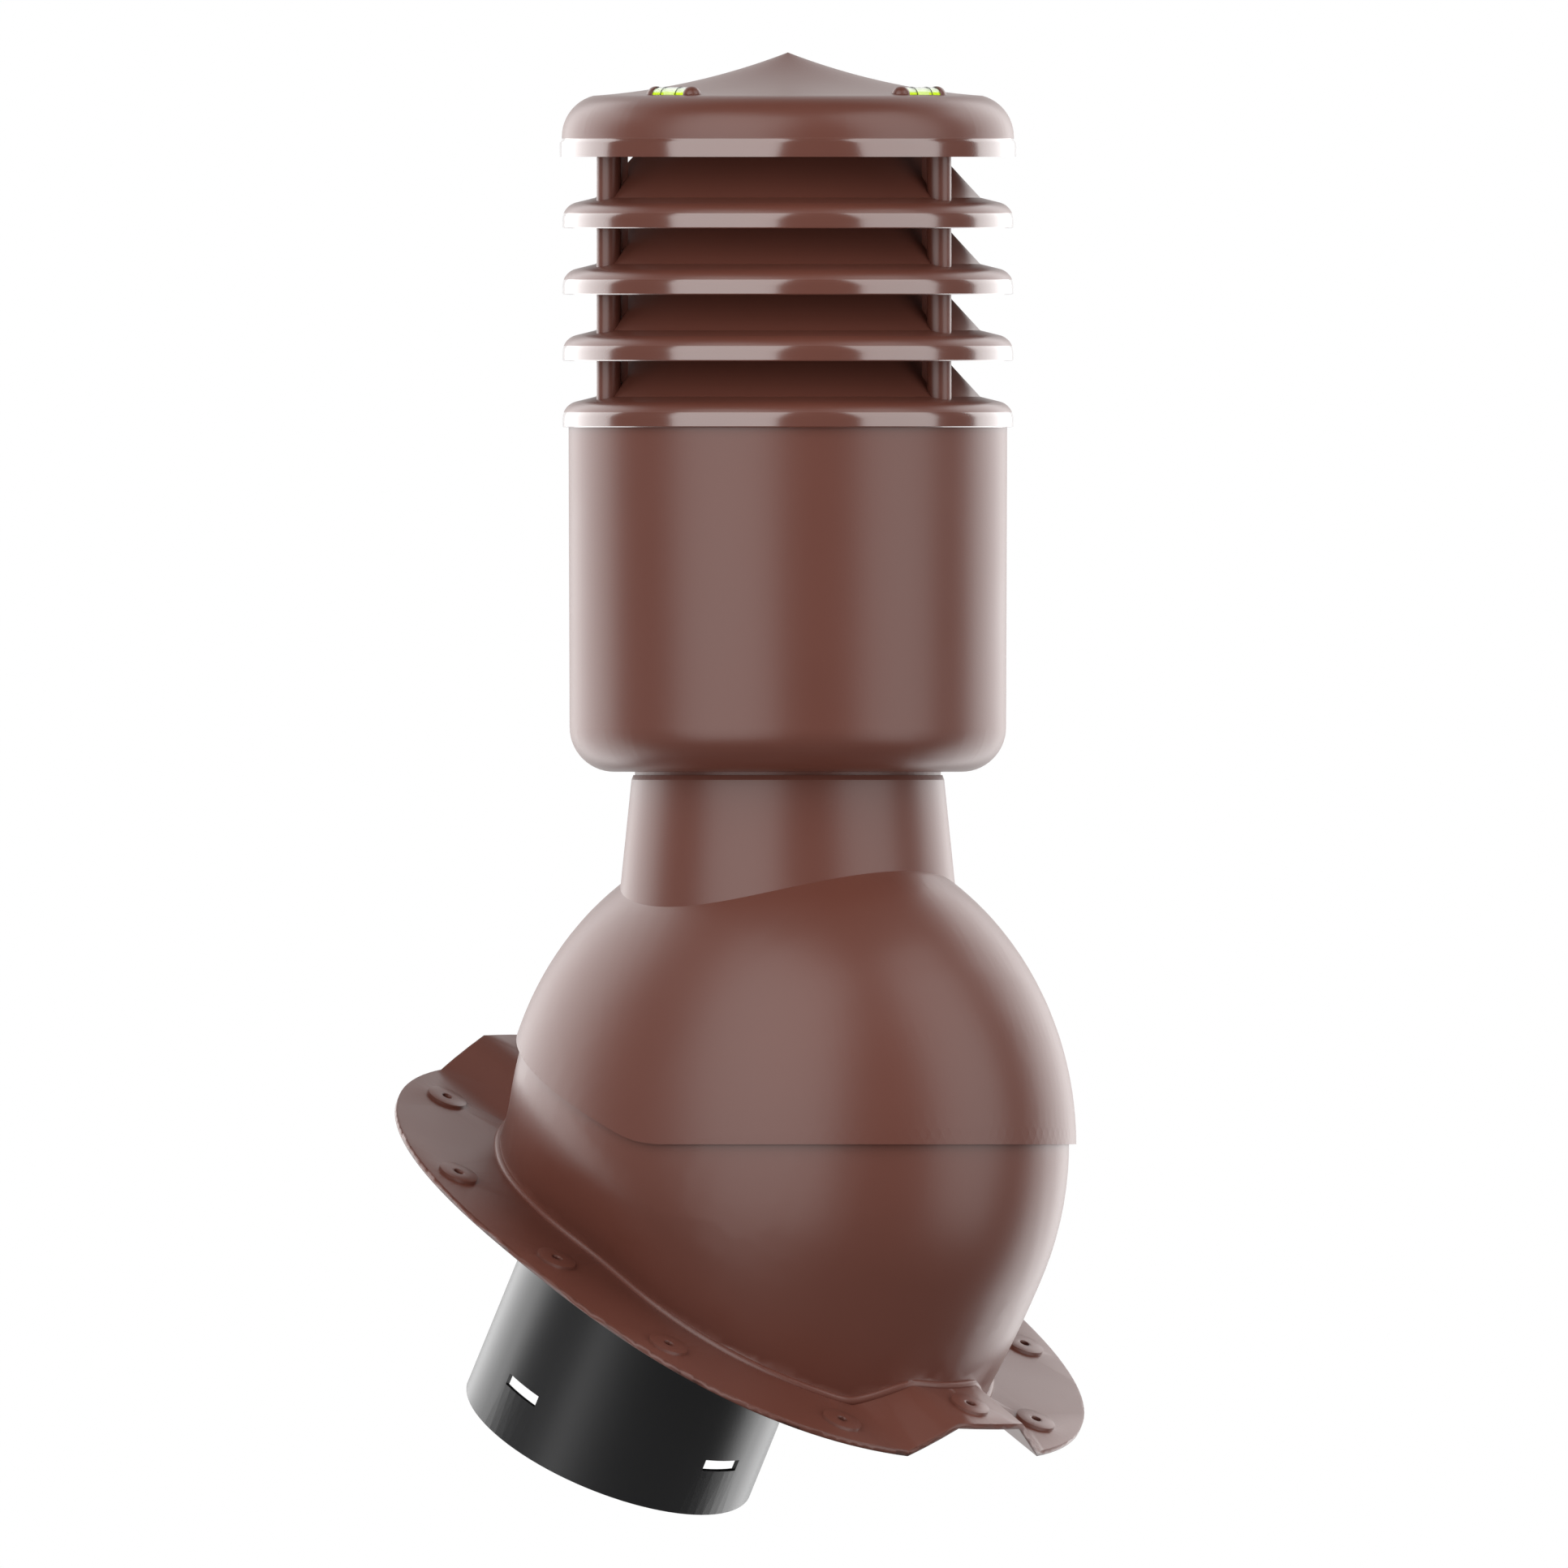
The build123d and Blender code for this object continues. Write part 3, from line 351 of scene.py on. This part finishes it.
# %% Copy, merge and smooth a node
CORNER_ANGLE = radians(24)
OWN_ANGLES = {"dome_cover": radians(11), "roof_base": radians(32), "duct_spigot": radians(18),
              "chamber_side": radians(18)}
MERGE_DISTANCE = 2e-6
FINISHES = {
    "roof_base": base_brown, "dome_cover": brown, "housing": brown, "cap": cap_brown, "inner_pipe": pipe_brown,
    "duct_spigot": black, "chamber_side": black, "swivel_drum": black, "pipe_seal": rubber,
    "insulation": foam, "chamber_screws": zinc, "plate_screws": zinc, "pivot_bolts": zinc,
    "pivot_nuts": zinc, "tie_screws": zinc, "friction_washers": washer_white,
    "level_tube_x": glass, "level_tube_y": glass, "level_fluid_x": fluid_x, "level_fluid_y": fluid_y,
}
body_of_node = {n: body for body, members in frame["record"]["behaviour"]["bodies"].items() for n in members}
slot_of_node = {s["node"]: s["material_slot"] for s in frame["record"]["subparts"]}


def link(name, mesh, body, slot, *replaced):
    """Puts a finished mesh in the scene, on its body, in place of some nodes; the slot is not used."""
    piece = bpy.data.objects.new(name, mesh)
    bpy.context.scene.collection.objects.link(piece)
    if replaced:
        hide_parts(*replaced)
    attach(piece, body)
    return piece


def crisp(mesh, angle=CORNER_ANGLE):
    """Smooth shading that stops at corners sharper than the angle."""
    mesh.shade_smooth()
    mesh.set_sharp_from_angle(angle=angle)


def lean_on_large_faces(mesh):
    """Lets the large faces set the shading of the narrow ones beside them."""
    carrier = bpy.data.objects.new("shading", mesh)
    bpy.context.scene.collection.objects.link(carrier)
    weighted = carrier.modifiers.new("weighted normals", "WEIGHTED_NORMAL")
    weighted.mode = "FACE_AREA_WITH_ANGLE"
    weighted.weight = 80
    weighted.keep_sharp = True
    bpy.context.view_layer.update()
    shaded = bpy.data.meshes.new_from_object(carrier.evaluated_get(bpy.context.evaluated_depsgraph_get()))
    shaded.name = mesh.name
    bpy.data.objects.remove(carrier)
    return shaded


def face_outwards(mesh):
    """Turns every closed shell of a mesh so that its faces point out."""
    shells = bmesh.new()
    shells.from_mesh(mesh)
    bmesh.ops.recalc_face_normals(shells, faces=shells.faces)
    shells.to_mesh(mesh)
    shells.free()


def smooth_copy(node, material, angle=CORNER_ANGLE):
    """A merged, smoothly shaded copy of a node's mesh, which replaces the node."""
    mesh = nodes[node].data.copy()
    mesh.name = node + "_skin"
    merged = bmesh.new()
    merged.from_mesh(mesh)
    bmesh.ops.remove_doubles(merged, verts=merged.verts, dist=MERGE_DISTANCE)
    bmesh.ops.dissolve_degenerate(merged, edges=merged.edges, dist=MERGE_DISTANCE / 2)
    merged.to_mesh(mesh)
    merged.free()
    mesh.materials.clear()
    mesh.materials.append(material)
    crisp(mesh, angle)
    mesh = lean_on_large_faces(mesh)
    return link(node + "_skin", mesh, body_of_node[node], slot_of_node[node], node)


for node, material in FINISHES.items():
    smooth_copy(node, material, OWN_ANGLES.get(node, CORNER_ANGLE))
print("smooth skins:", len(FINISHES))

# %% [markdown]
# ## The louvre rings
#
# Four equal rings stack up with a fixed step, each with three posts. That is a rule, so Geometry
# Nodes builds it: a profile runs round a circle, posts are turned round the axis, and the whole ring
# is repeated up a line. The profile is a lip, a rounded shoulder, a shelf and a cone.

# %% The ring's profile
ring_low, ring_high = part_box("louvre_ring_1")
stack_x, stack_y = tilt_centre.x, tilt_centre.y
ring_radius = (ring_high.y - ring_low.y) / 2
RING_WALL = 2.6 * MM
LIP_HEIGHT = 4.0 * MM
LIP_ROUNDING = 9.0 * MM
SHELF_ANGLE = radians(13.9)
SHELF_INNER = 94.8 * MM
CONE_ANGLE = radians(47.5)
THROAT = 75.9 * MM
ROUND_STEPS = 12
LIP_EDGE = 0.5 * MM


def ring_line(inset):
    """The ring's outer or inner line from the lip's foot to the throat, as (radius, height)."""
    outer, rounding = ring_radius - inset, LIP_ROUNDING - inset
    turns = [(pi / 2 - SHELF_ANGLE) * i / ROUND_STEPS for i in range(ROUND_STEPS + 1)]
    line = [(outer - rounding + rounding * cos(t), LIP_HEIGHT + rounding * sin(t)) for t in turns]
    knee = SHELF_INNER - inset * sin((CONE_ANGLE + SHELF_ANGLE) / 2) / cos((CONE_ANGLE - SHELF_ANGLE) / 2)
    knee_height = line[-1][1] + (line[-1][0] - knee) * tan(SHELF_ANGLE)
    line += [(knee, knee_height), (THROAT, knee_height + (knee - THROAT) * tan(CONE_ANGLE))]
    return line


outer_line = [(ring_radius - LIP_EDGE, 0.0), (ring_radius, LIP_EDGE)] + ring_line(0.0)
inner_foot = ring_radius - RING_WALL
inner_line = [(inner_foot + LIP_EDGE, 0.0), (inner_foot, LIP_EDGE)] + ring_line(RING_WALL)
ring_profile = outer_line + inner_line[::-1]
print("profile points:", len(ring_profile), "ring radius in mm:", round(ring_radius / MM, 2))

# %% [markdown]
# The tree takes the profile as its own mesh. Curve to Mesh lays the profile's x outwards and its y
# downwards along a circle whose normals point up, so the profile is drawn with its heights negated.

# %% A tree that turns a profile, adds posts and repeats the ring
POST_CIRCLE = 95.0 * MM
POST_RADIUS = 6.0 * MM
POST_ANGLE = radians(6.7)
POST_FOOT = 12.0 * MM
WEB_INNER = 85.4 * MM
WEB_FOOT = 22.0 * MM
WEB_THICKNESS = 3.0 * MM
SOCKET_RADIUS = 7.5 * MM
SOCKET_RISE = 4.0 * MM
SOCKET_TOP = 13.0 * MM
TOUCH_GAP = 0.1 * MM
TURN_STEPS = 192


def geometry_tree(name, **inputs):
    """An empty Geometry Nodes tree with geometry in and out and named inputs."""
    tree = bpy.data.node_groups.new(name, "GeometryNodeTree")
    tree.interface.new_socket("Geometry", in_out="INPUT", socket_type="NodeSocketGeometry")
    tree.interface.new_socket("Geometry", in_out="OUTPUT", socket_type="NodeSocketGeometry")
    for key, value in inputs.items():
        kind = {int: "NodeSocketInt", float: "NodeSocketFloat"}.get(type(value), "NodeSocketMaterial")
        socket = tree.interface.new_socket(key.replace("_", " "), in_out="INPUT", socket_type=kind)
        socket.default_value = value
    return tree, tree.nodes.new("NodeGroupInput").outputs, tree.nodes.new("NodeGroupOutput").inputs


def bake(name, profile_mesh, tree, **inputs):
    """Runs a tree on a mesh, its inputs set by their identifiers, and gives the result as a plain mesh."""
    carrier = bpy.data.objects.new(name, profile_mesh)
    bpy.context.scene.collection.objects.link(carrier)
    modifier = carrier.modifiers.new("build", "NODES")
    modifier.node_group = tree
    for socket in tree.interface.items_tree:
        key = socket.name.replace(" ", "_")
        if key in inputs:
            modifier[socket.identifier] = inputs[key]
    bpy.context.view_layer.update()
    evaluated = carrier.evaluated_get(bpy.context.evaluated_depsgraph_get())
    mesh = bpy.data.meshes.new_from_object(evaluated)
    mesh.name = name
    carrier.modifiers.remove(modifier)
    bpy.data.objects.remove(carrier)
    return mesh


def moved(tree, geometry, offset):
    """Geometry shifted by an offset."""
    return new_node(tree, "GeometryNodeTransform", Geometry=geometry, Translation=offset).outputs[0]


def spun_profile(tree, profile, radius, steps):
    """Sweeps a closed profile round a circle of the given radius."""
    curve = new_node(tree, "GeometryNodeMeshToCurve", i0=profile).outputs[0]
    circle = new_node(tree, "GeometryNodeCurvePrimitiveCircle", Resolution=steps, Radius=radius).outputs[0]
    upright = new_node(tree, "GeometryNodeSetCurveNormal", Curve=circle)
    upright.mode = "Z_UP"
    return new_node(tree, "GeometryNodeCurveToMesh", i0=upright.outputs[0], i1=curve).outputs[0]


def joined(tree, *parts):
    """Several geometries as one."""
    made = tree.nodes.new("GeometryNodeJoinGeometry")
    for part in parts:
        tree.links.new(part, made.inputs[0])
    return made.outputs[0]


def finished(tree, geometry, material, result):
    """Ends a tree: instances become real and take their material."""
    real = new_node(tree, "GeometryNodeRealizeInstances", Geometry=geometry).outputs[0]
    dressed = new_node(tree, "GeometryNodeSetMaterial", Geometry=real, Material=material).outputs[0]
    tree.links.new(dressed, result["Geometry"])


def cylinder(tree, radius, low, high, steps=40):
    """An upright cylinder between two heights on the z axis."""
    made = new_node(tree, "GeometryNodeMeshCylinder", Vertices=steps, Radius=radius, Depth=high - low)
    return moved(tree, made.outputs["Mesh"], (0, 0, (low + high) / 2))


def turned_copies(tree, geometry, count, first_turn):
    """Copies turned evenly round the z axis."""
    points = new_node(tree, "GeometryNodePoints", Count=count).outputs[0]
    index = tree.nodes.new("GeometryNodeInputIndex").outputs[0]
    share = math_node(tree, "DIVIDE", index, count)
    turn = math_node(tree, "MULTIPLY_ADD", share, 2 * pi)
    tree.links.new(first_turn, turn.node.inputs[2])
    spin = new_node(tree, "FunctionNodeEulerToRotation", i0=combine(tree, 0.0, 0.0, turn)).outputs[0]
    return new_node(tree, "GeometryNodeInstanceOnPoints",
                    Points=points, Instance=geometry, Rotation=spin).outputs[0]


def copies_up(tree, geometry, count, step):
    """Copies at equal steps up the z axis."""
    line = new_node(tree, "GeometryNodeMeshLine", Count=count, Offset=combine(tree, 0.0, 0.0, step)).outputs[0]
    return new_node(tree, "GeometryNodeInstanceOnPoints", Points=line, Instance=geometry).outputs[0]


def closed_line(name, points):
    """A mesh of edges that runs through the points and back to the first."""
    mesh = bpy.data.meshes.new(name)
    count = len(points)
    mesh.from_pydata([tuple(p) for p in points], [(i, (i + 1) % count) for i in range(count)], [])
    return mesh


ring_inputs = {"Ring_Count": 4, "Pitch": ring_pitch, "Post_Count": 3, "Post_Turn": POST_ANGLE,
               "Plastic": louvre_brown}
tree, given, result = geometry_tree("louvre rings", **ring_inputs)
ring = spun_profile(tree, given["Geometry"], POST_CIRCLE, TURN_STEPS)
post_top = ring_pitch + SOCKET_RISE - TOUCH_GAP
post = moved(tree, cylinder(tree, POST_RADIUS, POST_FOOT, post_top), (POST_CIRCLE, 0, 0))
socket = moved(tree, cylinder(tree, SOCKET_RADIUS, SOCKET_RISE, SOCKET_TOP), (POST_CIRCLE, 0, 0))
web = new_node(tree, "GeometryNodeMeshCube",
               Size=(POST_CIRCLE - WEB_INNER, WEB_THICKNESS, post_top - WEB_FOOT)).outputs["Mesh"]
web = moved(tree, web, ((POST_CIRCLE + WEB_INNER) / 2, 0, (post_top + WEB_FOOT) / 2))
posts = turned_copies(tree, joined(tree, post, socket, web), given["Post Count"], given["Post Turn"])
one_ring = joined(tree, ring, posts)
finished(tree, copies_up(tree, one_ring, given["Ring Count"], given["Pitch"]), given["Plastic"], result)

profile_mesh = closed_line("ring_profile", [(r - POST_CIRCLE, -h, 0.0) for r, h in ring_profile])
rings_mesh = bake("louvre_rings", profile_mesh, tree, **ring_inputs)
rings_mesh.transform(Matrix.Translation((stack_x, stack_y, lid_low)))
face_outwards(rings_mesh)
crisp(rings_mesh)
link("louvre_rings", rings_mesh, "stack", "brown_plastic",
     "louvre_ring_1", "louvre_ring_2", "louvre_ring_3", "louvre_ring_4")
print("louvre rings:", len(rings_mesh.polygons), "faces")

# %% [markdown]
# ## The bead round the base's foot
#
# A rounded bead runs where the base meets its flange, up one side of the rib and down the other. It
# is one tube along the foot's outline: a row of points in the roof's plane, raised to the sheet.

# %% A tube along the foot
ROOF_PITCH = radians(30)
down_slope = Vector((cos(ROOF_PITCH), 0, -sin(ROOF_PITCH)))
roof_normal = Vector((sin(ROOF_PITCH), 0, cos(ROOF_PITCH)))
FOOT_HALF_LENGTH = 154.0 * MM
FOOT_HALF_WIDTH = 109.5 * MM
FOOT_SQUASH = 0.11
FOOT_SQUASH_POWER = 12
FOOT_DRAW = 7.0 * MM
SHEET_TOP = 3.0 * MM
RIB_HEIGHT = 17.5 * MM
RIB_HALF_BASE = 46.0 * MM
RIB_HALF_TOP = 22.0 * MM
BEAD_RADIUS = 2.5 * MM
BEAD_OUT = 0.6 * MM
OUTLINE_STEPS = 20
BEAD_STEPS = 15


def foot_point(step):
    """A point of the foot's outline in the roof's plane, as the base's section has it."""
    turn = 2 * pi * step / OUTLINE_STEPS
    length = FOOT_HALF_LENGTH + BEAD_OUT - (FOOT_DRAW if cos(turn) < -1e-9 else 0)
    flat = 1 - FOOT_SQUASH * abs(sin(turn)) ** FOOT_SQUASH_POWER
    return Vector((length * cos(turn), (FOOT_HALF_WIDTH + BEAD_OUT) * sin(turn) * flat))


def between(a, b, c, d, share):
    """A smooth curve's point between b and c, with a and d as their neighbours."""
    bend = (2 * a - 5 * b + 4 * c - d) * share + (3 * b - a - 3 * c + d) * share * share
    return b + (c - a + bend) * share / 2


def rib_rise(across):
    """Height of the sheet's top over the roof at a distance across the rib."""
    share = (RIB_HALF_BASE - abs(across)) / (RIB_HALF_BASE - RIB_HALF_TOP)
    return SHEET_TOP + RIB_HEIGHT * min(max(share, 0.0), 1.0)


corners = [foot_point(i) for i in range(OUTLINE_STEPS)]
flat_path = [between(*(corners[(i + k) % OUTLINE_STEPS] for k in (-1, 0, 1, 2)), j / BEAD_STEPS)
             for i in range(OUTLINE_STEPS) for j in range(BEAD_STEPS)]
heights = [rib_rise(p.y) for p in flat_path]
for _ in range(3):
    heights = [(heights[i - 1] + h + heights[(i + 1) % len(heights)]) / 3 for i, h in enumerate(heights)]
bead_path = [down_slope * p.x + Vector((0, p.y, 0)) + roof_normal * h for p, h in zip(flat_path, heights)]

bead_inputs = {"Bead_Radius": BEAD_RADIUS, "Plastic": brown}
tree, given, result = geometry_tree("foot bead", **bead_inputs)
path = new_node(tree, "GeometryNodeMeshToCurve", i0=given["Geometry"]).outputs[0]
section = new_node(tree, "GeometryNodeCurvePrimitiveCircle", Resolution=20, Radius=given["Bead Radius"])
tube = new_node(tree, "GeometryNodeCurveToMesh", i0=path, i1=section.outputs[0]).outputs[0]
finished(tree, tube, given["Plastic"], result)

bead_mesh = bake("foot_bead", closed_line("bead_path", bead_path), tree, **bead_inputs)
face_outwards(bead_mesh)
bead_mesh.shade_smooth()
link("foot_bead", bead_mesh, "base", "brown_plastic")
print("foot bead:", len(bead_mesh.polygons), "faces")

# %% [markdown]
# ## Marks on the vials
#
# Two thin black rings on each vial show where the bubble must stand. They are the same ring at
# four places, so the tree repeats a small torus along a line, once for each vial.

# %% Level marks
MARK_WIDTH = 0.35 * MM
MARK_STEPS = 48
vial_radius = (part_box("level_tube_x")[1].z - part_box("level_tube_x")[0].z) / 2

mark_inputs = {"Mark_Count": 2, "Spacing": MARK_SPACING, "Vial_Radius": vial_radius, "Ink": mark_black}
tree, given, result = geometry_tree("level marks", **mark_inputs)
mark = spun_profile(tree, given["Geometry"], given["Vial Radius"], MARK_STEPS)
finished(tree, copies_up(tree, mark, given["Mark Count"], given["Spacing"]), given["Ink"], result)

half = MARK_WIDTH / 2
square = closed_line("mark_profile", [(-half, -half, 0), (half, -half, 0), (half, half, 0), (-half, half, 0)])
marks = bake("level_marks", square, tree, **mark_inputs)
for name, lay in (("x", Matrix.Rotation(pi / 2, 4, "Y")), ("y", Matrix.Rotation(-pi / 2, 4, "X"))):
    low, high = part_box("level_tube_" + name)
    mesh = marks.copy()
    mesh.transform(Matrix.Translation((0, 0, -MARK_SPACING / 2)))
    mesh.transform(Matrix.Translation((low + high) / 2) @ lay)
    face_outwards(mesh)
    crisp(mesh)
    link("level_marks_" + name, mesh, "stack", "black_plastic")
bpy.data.meshes.remove(marks)
print("level marks placed")

# %% [markdown]
# ## Studio
#
# The picture is a plain white studio shot from straight ahead, level with the stack. Two tall soft
# boxes in front give the two bright stripes on each round part. Two more from behind light its
# edges, and so does a white wall that shows only in reflections. The camera is orthographic, turned
# 45 degrees from the roof's fall.
#
# The floor carries no more than a faint shadow. It shines a little by itself, and more so far off,
# to stay white to the camera. It is kept out of reflections and throws no shadow of its own.

# %% World and floor
CAMERA_TURN = radians(45)
FILL_LIGHT = 0.05
WALL_EDGE, WALL_FULL = 0.25, 0.8
SIDE_WALL, BACK_WALL = 0.12, 1.0
FLOOR_SIZE = 6.0
FLOOR_DROP = 1.0 * MM
FLOOR_FELT = (0.25, 0.25, 0.25, 1.0)
FLOOR_SEEN = (0.26, 0.26, 0.26, 1.0)
NEAR, FAR = 0.5, 1.6
NEAR_GLOW, FAR_GLOW = 0.8, 1.0
view_direction = Vector((-sin(CAMERA_TURN), cos(CAMERA_TURN), 0))
image_right = Vector((cos(CAMERA_TURN), sin(CAMERA_TURN), 0))

world = bpy.data.worlds.new("studio")
bpy.context.scene.world = world
world.use_nodes = True
tree = world.node_tree
tree.nodes.clear()
direction = new_node(tree, "ShaderNodeTexCoord").outputs["Generated"]
facing = new_node(tree, "ShaderNodeVectorMath", i0=direction, i1=tuple(view_direction))
facing.operation = "DOT_PRODUCT"
behind = map_range(tree, "wall behind", facing.outputs["Value"], WALL_EDGE, WALL_FULL, SIDE_WALL, BACK_WALL)
seen = new_node(tree, "ShaderNodeLightPath").outputs
mirrored = math_node(tree, "MAXIMUM", seen["Is Glossy Ray"], seen["Is Transmission Ray"])
room = new_node(tree, "ShaderNodeMix", "fill or wall", Factor=mirrored, A=FILL_LIGHT, B=behind)
level = math_node(tree, "MAXIMUM", room.outputs["Result"], seen["Is Camera Ray"])
background = new_node(tree, "ShaderNodeBackground", Color=(1, 1, 1, 1), Strength=level)
tree.links.new(background.outputs[0], new_node(tree, "ShaderNodeOutputWorld").inputs["Surface"])

side = FLOOR_SIZE / 2
floor_mesh = bpy.data.meshes.new("floor")
floor_mesh.from_pydata(
    [(-side, -side, 0), (side, -side, 0), (side, side, 0), (-side, side, 0)], [], [(0, 1, 2, 3)])
floor = bpy.data.objects.new("floor", floor_mesh)
floor.location = (0, 0, cad_box[0].z - FLOOR_DROP)
bpy.context.scene.collection.objects.link(floor)
floor_paint, tree, shader = new_material("pale_floor", FLOOR_SEEN[:3], 0.9)
shown = new_node(tree, "ShaderNodeLightPath").outputs["Is Camera Ray"]
paint = color_mix(tree, "seen or felt", shown, FLOOR_FELT, FLOOR_SEEN)
tree.links.new(paint.outputs[2], shader.inputs["Base Color"])
shader.inputs["Emission Color"].default_value = (1.0, 1.0, 1.0, 1.0)
distance = new_node(tree, "ShaderNodeVectorMath", i0=new_node(tree, "ShaderNodeTexCoord").outputs["Object"])
distance.operation = "LENGTH"
glow = map_range(tree, "whiter far off", distance.outputs["Value"], NEAR, FAR, NEAR_GLOW, FAR_GLOW)
tree.links.new(math_node(tree, "MULTIPLY", shown, glow), shader.inputs["Emission Strength"])
floor_mesh.materials.append(floor_paint)
floor.visible_glossy = floor.visible_shadow = False
print("floor at z in mm:", round(floor.location.z / MM, 1))


# %% Soft boxes
BOX_DISTANCE = 2.0
BOX_AIM = tilt_centre + Vector((0, 0, 0.2))


def soft_box(name, turn, rise, spread, height, brightness):
    """A tall area light, seen from the vent so many degrees to the right of the camera and above it."""
    lamp = bpy.data.lights.new(name, "AREA")
    lamp.shape = "RECTANGLE"
    lamp.size, lamp.size_y = 2 * BOX_DISTANCE * tan(radians(spread / 2)), height
    lamp.energy = brightness * pi * lamp.size * lamp.size_y
    holder = bpy.data.objects.new(name, lamp)
    bpy.context.scene.collection.objects.link(holder)
    towards = (-view_direction * cos(radians(turn)) + image_right * sin(radians(turn))) * cos(radians(rise))
    towards.z = sin(radians(rise))
    holder.location = BOX_AIM + towards * BOX_DISTANCE
    holder.rotation_euler = (-towards).to_track_quat("-Z", "Y").to_euler()
    holder.visible_camera = False


soft_box("left_box", -33, 16, 56, 4.2, 2.05)
soft_box("right_box", 59, 16, 44, 4.2, 1.85)
soft_box("left_rim_box", -130, 0, 56, 4.0, 2.0)
soft_box("right_rim_box", 135, 0, 50, 4.0, 2.0)

# %% [markdown]
# The frame of the photograph is 1932 pixels square at 0.4 mm for each pixel. The stack's axis stands
# a little right of its middle, and the tilt centre lies 178 mm below the middle.

# %% Camera
IMAGE_SIDE = 1932
PIXEL = 0.4 * MM
AIM_RIGHT, AIM_UP = -1.9 * MM, 177.6 * MM
CAMERA_DISTANCE = 2.5
camera_data = bpy.data.cameras.new("camera")
camera_data.type = "ORTHO"
camera_data.ortho_scale = IMAGE_SIDE * PIXEL
camera = bpy.data.objects.new("camera", camera_data)
bpy.context.scene.collection.objects.link(camera)
aim = tilt_centre + image_right * AIM_RIGHT + Vector((0, 0, AIM_UP))
camera.location = aim - view_direction * CAMERA_DISTANCE
camera.rotation_euler = view_direction.to_track_quat("-Z", "Y").to_euler()
bpy.context.scene.camera = camera
bpy.context.scene.view_settings.view_transform = "Standard"
print("camera at", [round(v, 3) for v in camera.location])
